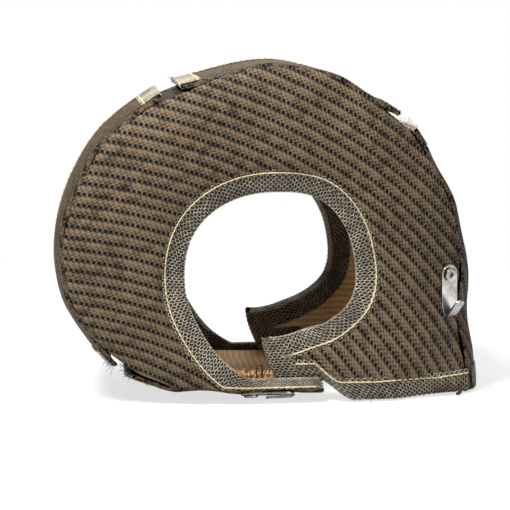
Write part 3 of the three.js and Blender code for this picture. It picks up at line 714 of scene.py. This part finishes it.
def rim_flap(name):
    start, end, loose_start, loose_end = FLAPS[name]
    start = start - turn(FLAP_HEM, start) if loose_start else start
    end = end + turn(FLAP_HEM, end) if loose_end else end
    sweep, length = evenly(start, end, rim_middle)
    weave = rim_weave(length)

    def place(x, y, lift):
        t = sweep(x)
        depth = outer_depth(t)
        rear = REAR_EDGE - FLAP_HEM / depth
        turned = np.clip(1 - y / TURNED_SHARE, 0, 1)
        past_turn = y - TURNED_SHARE
        v = mixed(FRONT_EDGE, rear, np.clip(past_turn / (1 - TURNED_SHARE), 0, 1))
        base = rim_at(t, v, np.zeros_like(t))
        u, w = weave(x, y, base)
        from_rear = (rear - v) * depth
        from_start = (start - t) / turn(1, start) if loose_start else FAR_OFF
        from_end = (t - end) / turn(1, end) if loose_end else FAR_OFF
        free = math.prod(ramp(distance, *FLAP_FADE) for distance in (from_rear, from_start, from_end))
        relief = TWILL_RELIEF * twill_height(u, w) * mixed(0.2, 1, free)
        near_front = 1 - np.clip(past_turn / FLAP_WAVE_SHARE, 0, 1)
        waves = FLAP_WAVE * np.sin(x * length * FLAP_WAVE_PITCH + FLAP_WAVE_START) * near_front * free
        lifted = flap_lift(name, t) + (relief + waves - SEAM_DIP * turned ** 2) + lift
        points = rim_at(t, v, -lifted)
        points[:, 1] -= SEAM_REACH * turned
        return points

    columns = round(length / FLAP_STEP)
    rows = round(FLAP_WIDTH / FLAP_STEP)
    # The flap cloth is the panels' twill painted darker, as the shade on the rim.
    piece = cloth(
        f"{name}_flap_cloth", columns, rows, place, weave, shaded_flap_twill, f"{name}_flap")
    print(piece.name, columns, "x", rows, "faces,", round(length), "mm long")


for name in FLAPS:
    rim_flap(name)

# %% [markdown]
# The padding's own cloth goes all the way round under the flaps. It is darker, because only the
# light that falls into a notch reaches it, and it sinks towards both seams.

# %% Cloth of the rim's padding
rim_sweep, rim_length = evenly(LEFT_LEG_END, CORNER, rim_middle)
padding_weave = rim_weave(rim_length)
PADDING_EDGE, PADDING_STEP, PADDING_ROWS = 0.93, 1.4, 48


def padding_place(x, y, lift):
    t = rim_sweep(x)
    v = mixed(-PADDING_EDGE, PADDING_EDGE, y)
    base = rim_at(t, v, np.full_like(t, RIM_PAD))
    u, w = padding_weave(x, y, base)
    sink = 1.5 * ramp(np.abs(v), 0.72, PADDING_EDGE)
    return rim_at(t, v, RIM_PAD + sink - 0.3 * twill_height(u, w) - lift)


rim_padding = cloth(
    "rim_padding", round(rim_length / PADDING_STEP), PADDING_ROWS, padding_place, padding_weave,
    inner_twill, "rim_insulation")

# %% [markdown]
# ## Lining
# The inside is lined with a looser, tan cloth. Through the hole it shows as a floor with wavy rows,
# and as the brown inside of the rear panel. It is modelled as plain woven cloth with its rows
# pulled out of line, and its colour runs from tan to cream in soft patches.

# %% Lining
LINING_ROW, LINING_THREAD = 1.7, 1.3
LINING_EDGE, LINING_ROWS, SIDE_LINING_STEP, SIDE_LINING_ROWS = 0.8, 62, 1.6, 34


def lining_finish():
    finish = Finish("lining_weave")
    u, v = finish.weave_map()
    drift = finish.noise(finish.point(u * 0.09, v * 0.09), 1.0, 2) * 3.0
    across = ((v + drift) * (math.pi / LINING_ROW)).sine()
    along = ((u + drift) * (math.pi / LINING_THREAD)).sine()
    thread = finish.noise(finish.point(u * 0.5, v * 3.5), 1.0, 3)
    height = across * 0.5 + along * 0.08 + thread * 0.6
    patches = finish.noise(finish.place(), 40, 3)
    # Painted shade: the colour follows the relief, so the grooves between the rows are darker, as their
    # shade; the thread noise and the soft patches are the cloth's own tone.
    share = height.between(-0.5, 1.0) * 0.45 + patches * 0.6 - 0.02
    colour = finish.mix(paint(176, 130, 82), paint(250, 218, 168), share)
    normal = finish.bump(height, 0.0004, 0.8)
    return finish.shade(
        Base_Color=colour, Roughness=0.8, Normal=normal, Specular_IOR_Level=0.25)


lining_weave = lining_finish()


def plain_relief(u, v):
    rows = np.sin(v * math.pi / LINING_ROW + 0.8 * np.sin(u * 0.3))
    return 0.5 * rows + 0.08 * np.sin(u * math.pi / LINING_THREAD)


def lining_rim_place(x, y, lift):
    t = rim_sweep(x)
    v = mixed(-LINING_EDGE, LINING_EDGE, y)
    relief = 0.3 * plain_relief(x * rim_length, v * outer_depth(t))
    return rim_at(t, v, RIM_WALL + relief + lift)


def lining_rim_weave(x, y, points):
    return points[:, 1], x * rim_length


rim_lining = cloth(
    "rim_lining_cloth", round(rim_length), LINING_ROWS, lining_rim_place, lining_rim_weave,
    lining_weave, "rim_lining")


def short_of_seam(t):
    """How far the side's lining stops before the seam, in mm, so that it meets the rim's lining."""
    return np.where(t > CORNER, np.maximum(6 - 0.6 * swell(t), 1.5), 1.2)


def side_lining(word, side):
    sweep, length = side_sweep(LIP_BLEND, side)

    def place(x, y, lift):
        t = sweep(x)

        def radius_at(angle):
            return mixed(hole_radius(angle) + 1.5, outer_radius(angle) - short_of_seam(angle), y)

        base = panel_at(t, radius_at, side, np.full_like(t, WALL))
        relief = 0.25 * plain_relief(base[:, 0], base[:, 2])
        return panel_at(t, radius_at, side, WALL + relief + lift)

    def weave(x, y, points):
        return points[:, 0], points[:, 2]

    piece = cloth(
        f"{word}_lining_cloth", round(length / SIDE_LINING_STEP), SIDE_LINING_ROWS, place, weave,
        lining_weave, f"{word}_lining")


for word, side in SIDES.items():
    side_lining(word, side)
print("lining", round(rim_length), "mm round the rim")

# %% [markdown]
# ## Wire-mesh tape
# The cut edges are bound with a tape that is knitted from fine stainless wire. Its loops are large
# enough to see, so they are real: each course is one wire that swings up and down through its
# neighbours' loops. Under them lies a second layer of the folded tape, drawn as a finer knit, and
# painted dark with near-black gaps, as the shade under the outer loops.

# %% Tape finishes
UNDER_CELL_LENGTH, UNDER_CELL_WIDTH = 1.35, 1.05


def tape_finish():
    finish = Finish("shaded_tape_underlayer")
    u, v = finish.weave_map()
    cell_u = u * (math.pi / UNDER_CELL_LENGTH)
    cell_v = v * (math.pi / UNDER_CELL_WIDTH)
    drift = finish.noise(finish.point(u * 0.4, v * 0.4), 1.0, 2) * 2.2
    lattice = ((cell_u + cell_v + drift).sine()).larger((cell_u - cell_v + drift).sine())
    grain = finish.noise(finish.point(u * 2.2, v * 2.2), 1.0, 3)
    share = lattice.between(0.35, 1.0) * 0.8 + (grain - 0.5) * 0.7
    # Painted shade: the gaps of the under knit are near black and its lines dark, as the shade under
    # the outer wires; the grain is the wire's own tone.
    colour = finish.mix(paint(16, 11, 6), paint(78, 67, 51), share.between(0.1, 1.0))
    normal = finish.bump(lattice + grain * 0.5, 0.0004, 0.7)
    metal = share.between(0.2, 0.8) * 0.4
    return finish.shade(Base_Color=colour, Roughness=0.55, Metallic=metal, Normal=normal)


def wire_finish(name, bright, dull, roughness, metal):
    finish = Finish(name)
    tarnish = finish.noise(finish.place(), 240, 3)
    patches = finish.noise(finish.place(), 35, 2)
    share = (tarnish * 0.6 + patches * 0.5 - 0.05).between(0.25, 0.8)
    colour = finish.mix(dull, bright, share)
    return finish.shade(Base_Color=colour, Roughness=roughness, Metallic=metal)


shaded_tape_underlayer = tape_finish()
knit_wire = wire_finish("knit_wire", paint(196, 188, 170), paint(104, 93, 76), 0.4, 0.35)
frayed_wire = wire_finish("frayed_wire", paint(120, 110, 94), paint(48, 41, 33), 0.4, 0.6)
thread_finish = wire_finish("sewing_thread", paint(216, 200, 160), paint(176, 156, 116), 0.75, 0.0)

# %% [markdown]
# A bound edge is one grid, folded over the edge from the outer side to the inner one, with a curve
# for each knitted course above it. Where the inner side can't be seen, only the outer courses are
# made. A little noise in the swing of the loops keeps the knit from looking printed.

# %% Tape helper
LOOP_PITCH, COURSE_PITCH, LOOP_SWING, LOOP_POINTS = 2.9, 1.25, 0.72, 6
WIRE_RADIUS, WIRE_LIFT, BASE_LIFT = 0.2, 0.6, 0.3
OUTER_COURSES, ALL_COURSES = 0.62, 1
TAPE_STEP, TAPE_CROSS_STEP, FOLD_ROOM = 1.6, 1.5, 2
random_knit = np.random.default_rng(11)


def wires(name, paths, radius, finish, sides=0):
    curve = bpy.data.curves.new(name, "CURVE")
    curve.dimensions = "3D"
    curve.bevel_depth = radius * MM
    curve.bevel_resolution = sides
    curve.use_fill_caps = True
    for path in paths:
        spline = curve.splines.new("POLY")
        spline.points.add(len(path) - 1)
        placed = (np.asarray(path) - (MIDDLE_X, 0, 0)) * MM
        spline.points.foreach_set("co", np.column_stack([placed, np.ones(len(placed))]).ravel())
    return link(name, curve, finish)


def fold(q, width, thickness):
    """Distance from the folded edge, share of the way to the inner side, and roundness of the edge."""
    flat = width / (2 * width + thickness)
    turn_share = np.clip((q - flat) / (1 - 2 * flat), 0, 1)
    reach = width * np.maximum(np.maximum(1 - q / flat, (q - 1 + flat) / flat), 0)
    return reach, (1 - np.cos(math.pi * turn_share)) / 2, np.sin(math.pi * turn_share)


def fold_depth(wall_depth, lift, inner, gap=INNER_GAP):
    """Depth of a tape that stands lift mm off both faces of a wall, at a share of the way in."""
    return mixed(-lift, wall_depth + gap + lift, inner)


def bound_edge(label, place, length, width, wall_depth, knitted=OUTER_COURSES):
    """place(s, reach, inner, bulge, lift) gives points for s from 0 to 1 along the edge."""
    thickness = wall_depth + FOLD_ROOM
    whole = 2 * width + thickness

    def surface(x, y, lift):
        reach, inner, bulge = fold(y, width, thickness)
        return place(x, reach, inner, bulge, BASE_LIFT + lift)

    def weave(x, y, points):
        return x * length, y * whole

    columns = max(4, round(length / TAPE_STEP))
    rows = max(6, round(whole / TAPE_CROSS_STEP))
    cloth(
        f"{label}_tape", columns, rows, surface, weave, shaded_tape_underlayer, f"{label}_binding")
    loops = max(2, round(length / LOOP_PITCH))
    courses = max(3, round(whole / COURSE_PITCH))
    share = np.linspace(0, 1, loops * LOOP_POINTS + 1)
    turn_angle = 2 * math.pi * loops * share
    paths = []
    for course in range(round(courses * knitted)):
        shift = random_knit.uniform(-0.5, 0.5) + math.pi * (course % 2)
        spread = random_knit.normal(1, 0.2, loops + 2)
        drift = np.cumsum(random_knit.normal(0, 0.16, loops + 2))
        drift = drift - np.linspace(0, drift[-1], loops + 2)
        knots = np.arange(loops + 2)
        uneven = np.interp(share * loops, knots, spread)
        s = share + 0.1 * np.sin(2 * (turn_angle + shift)) / loops
        swing = LOOP_SWING * uneven * np.cos(turn_angle + shift)
        swing = swing + 0.3 * np.tanh(np.interp(share * loops, knots, drift))
        q = ((course + 0.5) * COURSE_PITCH + swing) / (courses * COURSE_PITCH)
        reach, inner, bulge = fold(np.clip(q, 0.004, 0.996), width, thickness)
        lift = WIRE_LIFT + 0.17 * np.cos(2 * (turn_angle + shift))
        paths.append(place(np.clip(s, 0, 1), reach, inner, bulge, lift))
    wires(f"{label}_tape_knit", paths, WIRE_RADIUS, knit_wire)


# %% [markdown]
# The tape of a hole's edge goes from the left leg's end to the tip, where the tip's own tape is laid
# over it. Through the hole the inner side of the rear tape is in view, so that one is knitted whole.

# %% Tape on the hole edges
TIP_OVERLAP, TIP_TAPE_LIFT, SEAM_ROOM = 1.6, 0.8, 0.6


def hole_tape_sweep(side):
    def line(t):
        return panel_at(
            t, lambda angle: hole_radius(angle) + HOLE_TAPE / 2, side, np.zeros_like(t), TIP_OVERLAP)

    return evenly(LEFT_LEG_END, TIP_ANGLE, line)


def hole_tape_place(side, sweep):
    def place(s, reach, inner, bulge, lift):
        t = sweep(s)
        room = outer_radius(t) - hole_radius(t) - SEAM_ROOM
        squeeze = np.where(t > FLOOR_START, np.minimum(1, room / HOLE_TAPE), 1)

        def radius_at(angle):
            return hole_radius(angle) + reach * squeeze - bulge * lift

        return panel_at(t, radius_at, side, fold_depth(wall(t), lift, inner), TIP_OVERLAP)

    return place


KNITTED = {"front": OUTER_COURSES, "rear": ALL_COURSES}
for word, side in SIDES.items():
    sweep, length = hole_tape_sweep(side)
    place = hole_tape_place(side, sweep)
    bound_edge(f"{word}_hole", place, length, HOLE_TAPE, WALL, KNITTED[word])
    print(word, "hole tape", round(length), "mm")

# %% [markdown]
# ## Tape on the tip, the hems and the floor's end
# The right leg ends in a slanted tip that is tucked into the left leg, and its hem stands on the
# bench. The tape is folded over both, and over the end of the left leg's floor.

# %% Tape on the tip and the hems
TIP_TAPE_LENGTH, SIDE_HEM_LENGTH, FLOOR_END_LENGTH, FLAP_END_LENGTH = 25, 62, 65, 62
HEM_REACH, LOWEST_LIFT = HEM_TAPE - 1, 0.9
SIDE_HEM_EDGE, FLOOR_END_EDGE = 0.9, 0.72


def finished_radius(angle, share):
    return mixed(hole_radius(angle), level_radius(angle, hem_height(angle) - HOLD), share)


def upright(t, reach):
    """The angle of a point straight above the hem, near the corner, instead of along its ray."""
    x = level_radius(t, hem_height(t)) * np.cos(radians(t))
    above = -np.degrees(np.arctan2(HOLE_CENTRE - hem_height(t) - reach, x))
    return mixed(t, above, ramp(t, NEST_END, HEM_TURN))


def hem_tape_sweep(side):
    def line(t):
        return panel_at(t, above_hem(0), side, np.zeros_like(t), TIP_OVERLAP)

    return evenly(CORNER, TIP_ANGLE, line)


for word, side in SIDES.items():
    def tip_place(s, reach, inner, bulge, lift, side=side):
        lift = lift + TIP_TAPE_LIFT
        depth = fold_depth(WALL, lift, inner)
        t = np.full_like(s, TIP_ANGLE)
        return panel_at(t, lambda angle: finished_radius(angle, s), side, depth, reach - bulge * lift)

    bound_edge(f"{word}_tip", tip_place, TIP_TAPE_LENGTH, HOLE_TAPE, WALL, KNITTED[word])
    hem_sweep, hem_length = hem_tape_sweep(side)

    def hem_place(s, reach, inner, bulge, lift, side=side, hem_sweep=hem_sweep):
        t = upright(hem_sweep(s), reach)
        t = np.where(inner > 0.5, np.minimum(t, HEM_TURN), t)
        points = panel_at(t, above_hem(reach), side, fold_depth(WALL, lift, inner), TIP_OVERLAP)
        points[:, 2] -= bulge * np.minimum(lift, LOWEST_LIFT)
        return points

    bound_edge(f"{word}_hem", hem_place, hem_length, HEM_REACH, WALL, KNITTED[word])
    print(word, "hem tape", round(hem_length), "mm")


def side_hem_place(s, reach, inner, bulge, lift):
    t = mixed(CORNER, HEM_TOP, reach / HEM_REACH)
    v = mixed(-SIDE_HEM_EDGE, SIDE_HEM_EDGE, s)
    points = rim_at(t, v, fold_depth(RIM_WALL, lift, inner))
    points[:, 2] -= bulge * np.minimum(lift, LOWEST_LIFT)
    return points


bound_edge("side_hem", side_hem_place, SIDE_HEM_LENGTH, HEM_REACH, RIM_WALL)


def floor_end_place(s, reach, inner, bulge, lift):
    t = LEFT_LEG_END - turn(reach - bulge * lift, LEFT_LEG_END)
    v = mixed(-FLOOR_END_EDGE, FLOOR_END_EDGE, s)
    return rim_at(t, v, mixed(-np.minimum(lift, LOWEST_LIFT), RIM_WALL + INNER_GAP + lift, inner))


bound_edge("left_leg_end", floor_end_place, FLOOR_END_LENGTH, FLAP_TAPE, RIM_WALL)

# %% [markdown]
# Each flap has one tape along its rear edge and one on each loose end. The end tapes start at the
# front seam and stop at the rear tape, which is folded over last.

# %% Tape on the flaps
START_WORDS = {"left": "lower", "top": "left", "right": "upper"}
END_WORDS = {"bottom": "left", "left": "upper", "top": "right"}


def flap_tapes(name):
    start, end, loose_start, loose_end = FLAPS[name]
    stop = end if loose_end else max(end, HEM_TOP + turn(GAP, end))
    begin = start if loose_start else start - turn(FLAP_TAPE + GAP, start)
    sweep, length = evenly(begin, stop, lambda t: rim_at(t, np.full_like(t, 0.85), np.zeros_like(t)))

    def edge_place(s, reach, inner, bulge, lift):
        t = sweep(s)
        v = REAR_EDGE - (reach - bulge * lift) / outer_depth(t)
        return rim_at(t, v, fold_depth(COVER, lift, inner, GAP) - flap_lift(name, t))

    bound_edge(f"{name}_flap_edge", edge_place, length, FLAP_TAPE, COVER)
    ends = []
    if loose_start:
        ends.append((START_WORDS[name], start, -1))
    if loose_end:
        ends.append((END_WORDS[name], end, 1))
    for word, at, sign in ends:
        def end_place(s, reach, inner, bulge, lift, at=at, sign=sign):
            t = at + sign * turn(reach - bulge * lift, at)
            rear = REAR_EDGE - FLAP_TAPE / outer_depth(t)
            v = mixed(FRONT_EDGE, rear, s)
            return rim_at(t, v, fold_depth(COVER, lift, inner, GAP) - flap_lift(name, t))

        bound_edge(f"{name}_flap_{word}_end", end_place, FLAP_END_LENGTH, FLAP_TAPE, COVER)


for name in FLAPS:
    flap_tapes(name)

# %% [markdown]
# ## Stitching
# A cream thread holds the tapes of the holes, the hems and the flaps, in long rows of lock stitches.
# A curve runs along each seam and dips at every needle hole, which reads as thread from a step away.

# %% Stitches
THREAD_RADIUS, THREAD_LIFT, NEEDLE_DIP = 0.36, 0.4, 0.6
STITCH_LENGTH, STITCH_POINTS = 3.2, 6
STITCH_INSET, HEM_STITCH_INSET = 1.6, 3.2


def stitched(name, place, start=0, end=1):
    """place(s, lift) gives points of the seam, for s from start to end."""
    s = np.linspace(start, end, 400)
    steps = np.linalg.norm(np.diff(place(s, np.zeros_like(s)), axis=0), axis=1)
    length = np.concatenate([[0], np.cumsum(steps)])
    count = max(2, round(length[-1] / STITCH_LENGTH))
    run = np.linspace(0, length[-1], count * STITCH_POINTS + 1)
    even = np.interp(run, length, s)
    rise = np.abs(np.sin(math.pi * run * count / length[-1])) ** 0.6
    path = place(even, THREAD_LIFT + NEEDLE_DIP * rise)
    wires(name, [path], THREAD_RADIUS, thread_finish, 1)


for word, side in SIDES.items():
    place = hole_tape_place(side, hole_tape_sweep(side)[0])

    def hole_seam(s, lift, place=place):
        flat = np.zeros_like(s)
        return place(s, flat + HOLE_TAPE - STITCH_INSET, flat, flat, lift)

    stitched(f"{word}_hole_stitch", hole_seam, 0.01, 0.99)
    hem_sweep = hem_tape_sweep(side)[0]

    def hem_seam(s, lift, side=side, hem_sweep=hem_sweep):
        up = HEM_TAPE - HEM_STITCH_INSET
        t = upright(hem_sweep(s), up)
        return panel_at(t, above_hem(up), side, -lift, HOLE_TAPE + 2 * GAP)

    stitched(f"{word}_hem_stitch", hem_seam)

for name in FLAPS:
    start, end, loose_start, loose_end = FLAPS[name]
    seam_start = start - turn(FLAP_TAPE, start) if loose_start else start
    seam_end = end + turn(FLAP_TAPE, end) if loose_end else end

    def rear_seam(s, lift, name=name, a=seam_start, b=seam_end):
        t = mixed(a, b, s)
        v = REAR_EDGE - (FLAP_TAPE - STITCH_INSET) / outer_depth(t)
        return rim_at(t, v, -lift - flap_lift(name, t))

    stitched(f"{name}_flap_edge_stitch", rear_seam)
    for word, at, sign, loose in (("first", start, -1, loose_start), ("last", end, 1, loose_end)):
        if not loose:
            continue

        def end_seam(s, lift, name=name, at=at, sign=sign):
            t = np.full_like(s, at + sign * turn(FLAP_TAPE - STITCH_INSET, at))
            return rim_at(t, mixed(-0.94, 0.7, s), -lift - flap_lift(name, t))

        stitched(f"{name}_flap_{word}_end_stitch", end_seam)
print("stitches about", STITCH_LENGTH, "mm long")

# %% [markdown]
# ## Hooks, rivets and washers
# The hooks are pressed from bright stainless sheet and held by rivets with a washer inside the wall.
# Most of their CAD solids have the right shape but sharp edges, so each is copied, its flat facets
# are joined, and a small bevel rounds every sharp edge the way a press and a tumbler do.


# %% Hooks
def steel_finish():
    finish = Finish("hook_steel")
    scratches = finish.noise(finish.place(), 900, 2)
    patches = finish.noise(finish.place(), 120, 3)
    colour = finish.mix(paint(150, 149, 145), paint(214, 213, 209), patches.between(0.3, 0.7))
    gloss = scratches * 0.15 + 0.2
    normal = finish.bump(scratches, 0.00006, 0.4)
    return finish.shade(Base_Color=colour, Roughness=gloss, Metallic=1.0, Normal=normal)


hook_steel = steel_finish()


def tumbled(shape, name, node, bevel, sharp_edge, crease):
    """Rounds the shape's edges sharper than sharp_edge degrees and makes it a steel piece."""
    sharp_turn = math.radians(sharp_edge)
    sharp = [e for e in shape.edges if len(e.link_faces) == 2 and e.calc_face_angle() > sharp_turn]
    bmesh.ops.bevel(
        shape, geom=sharp, offset=bevel * MM, offset_type="OFFSET", segments=2, profile=0.5,
        affect="EDGES", material=-1, clamp_overlap=True)
    mesh = bpy.data.meshes.new(name)
    shape.to_mesh(mesh)
    shape.free()
    mesh.shade_smooth()
    mesh.set_sharp_from_angle(angle=math.radians(crease))
    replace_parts(link(name, mesh, hook_steel), node)
    print(name, len(mesh.polygons), "faces")


def pressed(node, name, bevel):
    shape = bmesh.new()
    shape.from_mesh(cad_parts[node].data)
    bmesh.ops.remove_doubles(shape, verts=shape.verts, dist=1e-5)
    bmesh.ops.dissolve_limit(shape, angle_limit=math.radians(2), verts=shape.verts, edges=shape.edges)
    tumbled(shape, name, node, bevel, sharp_edge=40, crease=35)


for place_word in ("right", "bottom"):
    pressed(f"{place_word}_rivet", f"{place_word}_hook_rivet", bevel=0.15)
    pressed(f"{place_word}_washer", f"{place_word}_hook_washer", bevel=0.12)
pressed("bottom_hook", "bottom_hook_plate", bevel=0.22)

# %% [markdown]
# The hook on the right has been bent open: its tongue stands well away from the plate, so it can't
# be a copy of its solid. It is made from a flat strip, a grid whose points are laid along a bent line:
# straight down the plate, round the bend and up the tongue. Both ends are rounded by narrowing the
# strip, then it gets thickness.

# %% Bent hook
HOOK_LENGTH, HOOK_WIDTH, HOOK_SHEET = 27, 10, 1.0
TONGUE_LENGTH, TONGUE_WIDTH, BEND_RADIUS, TONGUE_OPENING = 11.5, 6, 1.5, math.radians(40)
NARROWING_START, NARROWING_RUN = 4, 6
OUTWARD = Vector((0.46399, -0.88560, -0.02057)).normalized()
DOWNWARD = Vector((0.219, 0.259, -6.278)).normalized()


def rounded_end(from_end, half_width):
    """Half the strip's width near an end that is round in plan."""
    return half_width * math.sqrt(max(0.02, 1 - max(0, 1 - from_end / half_width) ** 2))


def bent_strip(columns, rows):
    strip = bmesh.new()
    bmesh.ops.create_grid(strip, x_segments=columns, y_segments=rows, size=0.5)
    straight = HOOK_LENGTH - BEND_RADIUS
    bend_angle = math.pi - TONGUE_OPENING
    bend = BEND_RADIUS * bend_angle
    whole = straight + bend + TONGUE_LENGTH
    across = OUTWARD.cross(DOWNWARD)
    top = Vector(RIGHT_HOOK) - DOWNWARD * HOOK_WIDTH / 2
    for vertex in strip.verts:
        s = (vertex.co.x + 0.5) * whole
        plate = min(s, straight)
        angle = min(max(0, s - straight) / BEND_RADIUS, bend_angle)
        tongue = max(0, s - straight - bend)
        down = plate + BEND_RADIUS * math.sin(angle) + tongue * math.cos(bend_angle)
        out = HOOK_SHEET / 2 + BEND_RADIUS * (1 - math.cos(angle)) + tongue * math.sin(bend_angle)
        narrowing = min(max((s - straight + NARROWING_START) / NARROWING_RUN, 0), 1)
        half = HOOK_WIDTH / 2 + (TONGUE_WIDTH - HOOK_WIDTH) / 2 * narrowing
        half = min(rounded_end(s, half), rounded_end(whole - s, half))
        vertex.co = top + DOWNWARD * down + OUTWARD * out + across * (2 * half * vertex.co.y)
        vertex.co = (vertex.co - Vector((MIDDLE_X, 0, 0))) * MM
    bmesh.ops.recalc_face_normals(strip, faces=strip.faces)
    bmesh.ops.solidify(strip, geom=strip.faces, thickness=HOOK_SHEET * MM)
    bmesh.ops.recalc_face_normals(strip, faces=strip.faces)
    return strip


right_strip = bent_strip(columns=64, rows=12)
tumbled(right_strip, "right_hook_plate", "right_hook", bevel=0.2, sharp_edge=60, crease=50)

# %% [markdown]
# ## Fringe and frays
# Where the lining of the floor was cut, its yarns have come loose and lean over the tape. The tape's
# cut ends fray too: short wires stick out at the ends of the flaps and along the hem. All of them
# are short bent curves from a seeded generator, so they never change.

# %% Fringe of the lining
FRINGE_YARNS, FRINGE_START, YARN_RADIUS = 64, -0.28, 0.3
FRINGE_FIRST, FRINGE_LAST, FRINGE_SPREAD = 286, 250, 0.35
random_fringe = np.random.default_rng(5)
yarn_finish = wire_finish("lining_yarn", paint(232, 196, 144), paint(170, 130, 82), 0.85, 0.0)
yarns = []
roots = np.linspace(FRINGE_FIRST, FRINGE_LAST, FRINGE_YARNS)
for t in roots + random_fringe.normal(0, FRINGE_SPREAD, FRINGE_YARNS):
    share = np.linspace(0, 1, 7)
    lean = random_fringe.uniform(2.5, 6.5)
    reach = random_fringe.uniform(14, 20)
    v = FRINGE_START - reach * share / HEM_DEPTH
    angles = t - lean * share + random_fringe.uniform(-1, 1) * share ** 2
    lift = RIM_WALL + 0.7 + random_fringe.uniform(2.0, 4.0) * np.sin(share * 2.4)
    yarns.append(rim_at(angles, v, lift))
wires("lining_fringe", yarns, YARN_RADIUS, yarn_finish)
print(FRINGE_YARNS, "yarns in the fringe")

# %% [markdown]
# A fray starts on an edge, heads roughly one way and curls off it. The function gets the edge as a
# function too, so that the same few lines serve the flaps and the hem.

# %% Frays of the tape
FRAY_RADIUS = 0.09
random_fray = np.random.default_rng(3)


def frayed(name, at, lean, count, reach):
    """at gives start points for shares of an edge; each wire leaves it towards lean and curls."""
    paths = []
    for start in at(np.linspace(0, 1, count)):
        heading = unit(np.asarray(lean) + random_fray.normal(0, 0.45, 3))
        curl = random_fray.normal(0, 1, 3)
        share = np.linspace(0, 1, 6)[:, None]
        length = reach * random_fray.uniform(0.4, 1)
        paths.append(start + length * (heading * share + 0.45 * curl * share ** 2))
    wires(name, paths, FRAY_RADIUS, frayed_wire)


def flap_end(name, t, v_from, v_to):
    def at(share):
        angle = np.full_like(share, t)
        return rim_at(angle, mixed(v_from, v_to, share), -0.6 - flap_lift(name, angle))

    return at


frayed("top_flap_frays", flap_end("top", FLAPS["top"][0], 0.3, 0.92), (-0.6, 0.1, 0.1), 12, 2.2)
frayed("left_flap_frays", flap_end("left", FLAPS["left"][0], -0.95, 0.4), (-0.4, -0.5, -1), 22, 4)
frayed("left_flap_top_frays", flap_end("left", FLAPS["left"][1], -0.95, 0.4), (0.5, -0.2, 0.4), 12, 1.8)
frayed("bottom_flap_frays", flap_end("bottom", FLAPS["bottom"][1], -0.95, 0.6), (-1, -0.5, 0.3), 26, 4)
frayed("right_flap_frays", flap_end("right", FLAPS["right"][0], -0.95, 0.5), (-0.3, -0.3, 1), 12, 2.5)


def hem_foot(share):
    t = mixed(CORNER, NEST_END, share)
    return panel_at(t, above_hem(0), SIDES["front"], np.full_like(t, -0.7))


frayed("hem_frays", hem_foot, (0, -0.6, 0.1), 40, 1.2)

# %% [markdown]
# A dark thread end hangs at the hem's right corner. It is a thick curve with round sides, and so dark
# that only its outline shows.

# %% Dark thread end at the hem
dark_thread = wire_finish("dark_thread", paint(36, 33, 30), paint(12, 11, 10), 0.8, 0.0)
knot = np.array([(97.4, -38.2, 2.6), (96.9, -39.4, 1.6), (96.0, -40.2, 1.1), (94.8, -40.9, 1.0)])
wires("hem_thread_end", [knot], 0.85, dark_thread, 2)

# %% [markdown]
# ## What keeps its CAD shape
# The needled padding is hidden between cover and lining, and of the fixing wire only the loop that
# stands up through the lining shows. Both keep their CAD shapes and get materials of their own.


# %% Padding and fixing wire
def felt_finish():
    finish = Finish("needled_padding")
    fibres = finish.noise(finish.place(), 700, 4, 0.7)
    clumps = finish.noise(finish.place(), 90, 2)
    share = fibres * 0.6 + clumps * 0.5 - 0.05
    colour = finish.mix(paint(196, 184, 158), paint(232, 224, 204), share)
    normal = finish.bump(fibres, 0.0005, 0.8)
    return finish.shade(Base_Color=colour, Roughness=0.95, Normal=normal)


needled_padding = felt_finish()
loop_wire = wire_finish("loop_wire", paint(132, 112, 58), paint(58, 46, 24), 0.35, 0.8)
KEPT = {
    "front_insulation": needled_padding,
    "rear_insulation": needled_padding,
    "hook_fixing_wire": loop_wire,
}
for node, finish in KEPT.items():
    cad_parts[node].material_slots[0].material = finish


# %% [markdown]
# ## Floor and background
# The floor is a plain pale sheet. Where the camera looks at it directly it is lifted towards white,
# so that it meets the white world without a line, and it still takes the object's shadow.

# %% Floor
FLOOR_HEIGHT = -0.0005
PALE, WHITE = (0.8, 0.8, 0.8, 1), (1, 1, 1, 1)
floor_mesh = bpy.data.meshes.new("floor")
floor_shape = bmesh.new()
bmesh.ops.create_grid(floor_shape, x_segments=1, y_segments=1, size=6)
floor_shape.to_mesh(floor_mesh)
floor_shape.free()
floor = bpy.data.objects.new("floor", floor_mesh)
bpy.context.collection.objects.link(floor)
floor.location.z = FLOOR_HEIGHT
floor_paint = Finish("floor_paint")
seen = floor_paint.node("LightPath", None, None, "Is Camera Ray")
matt = floor_paint.node("BsdfDiffuse", None, {"Color": PALE})
glow = floor_paint.node("Emission", None, {"Color": WHITE, "Strength": 1.0})
x, y = floor_paint.first_two(floor_paint.place())
away = (x * x + y * y).power(0.5)
lightened = seen * (away.between(0.12, 0.45) * 0.3 + 0.7)
floor_top = floor_paint.node("MixShader", None, {0: lightened, 1: matt, 2: glow})
floor_mesh.materials.append(floor_paint.show(floor_top, "Material"))

# %% [markdown]
# The world gives a little light from all sides. Only the camera, also through clear things, sees it
# as plain white.

# %% World
sky = Finish("studio", bpy.data.worlds)
bpy.context.scene.world = sky.owner
seen = sky.node("LightPath", None, None, "Is Camera Ray")
seen_through = sky.node("LightPath", None, None, "Is Transmission Ray")
soft = sky.node("Background", None, {"Color": WHITE, "Strength": 0.26})
white = sky.node("Background", None, {"Color": WHITE, "Strength": 1.0})
sky.show(sky.node("MixShader", None, {0: seen.larger(seen_through), 1: soft, 2: white}), "World")
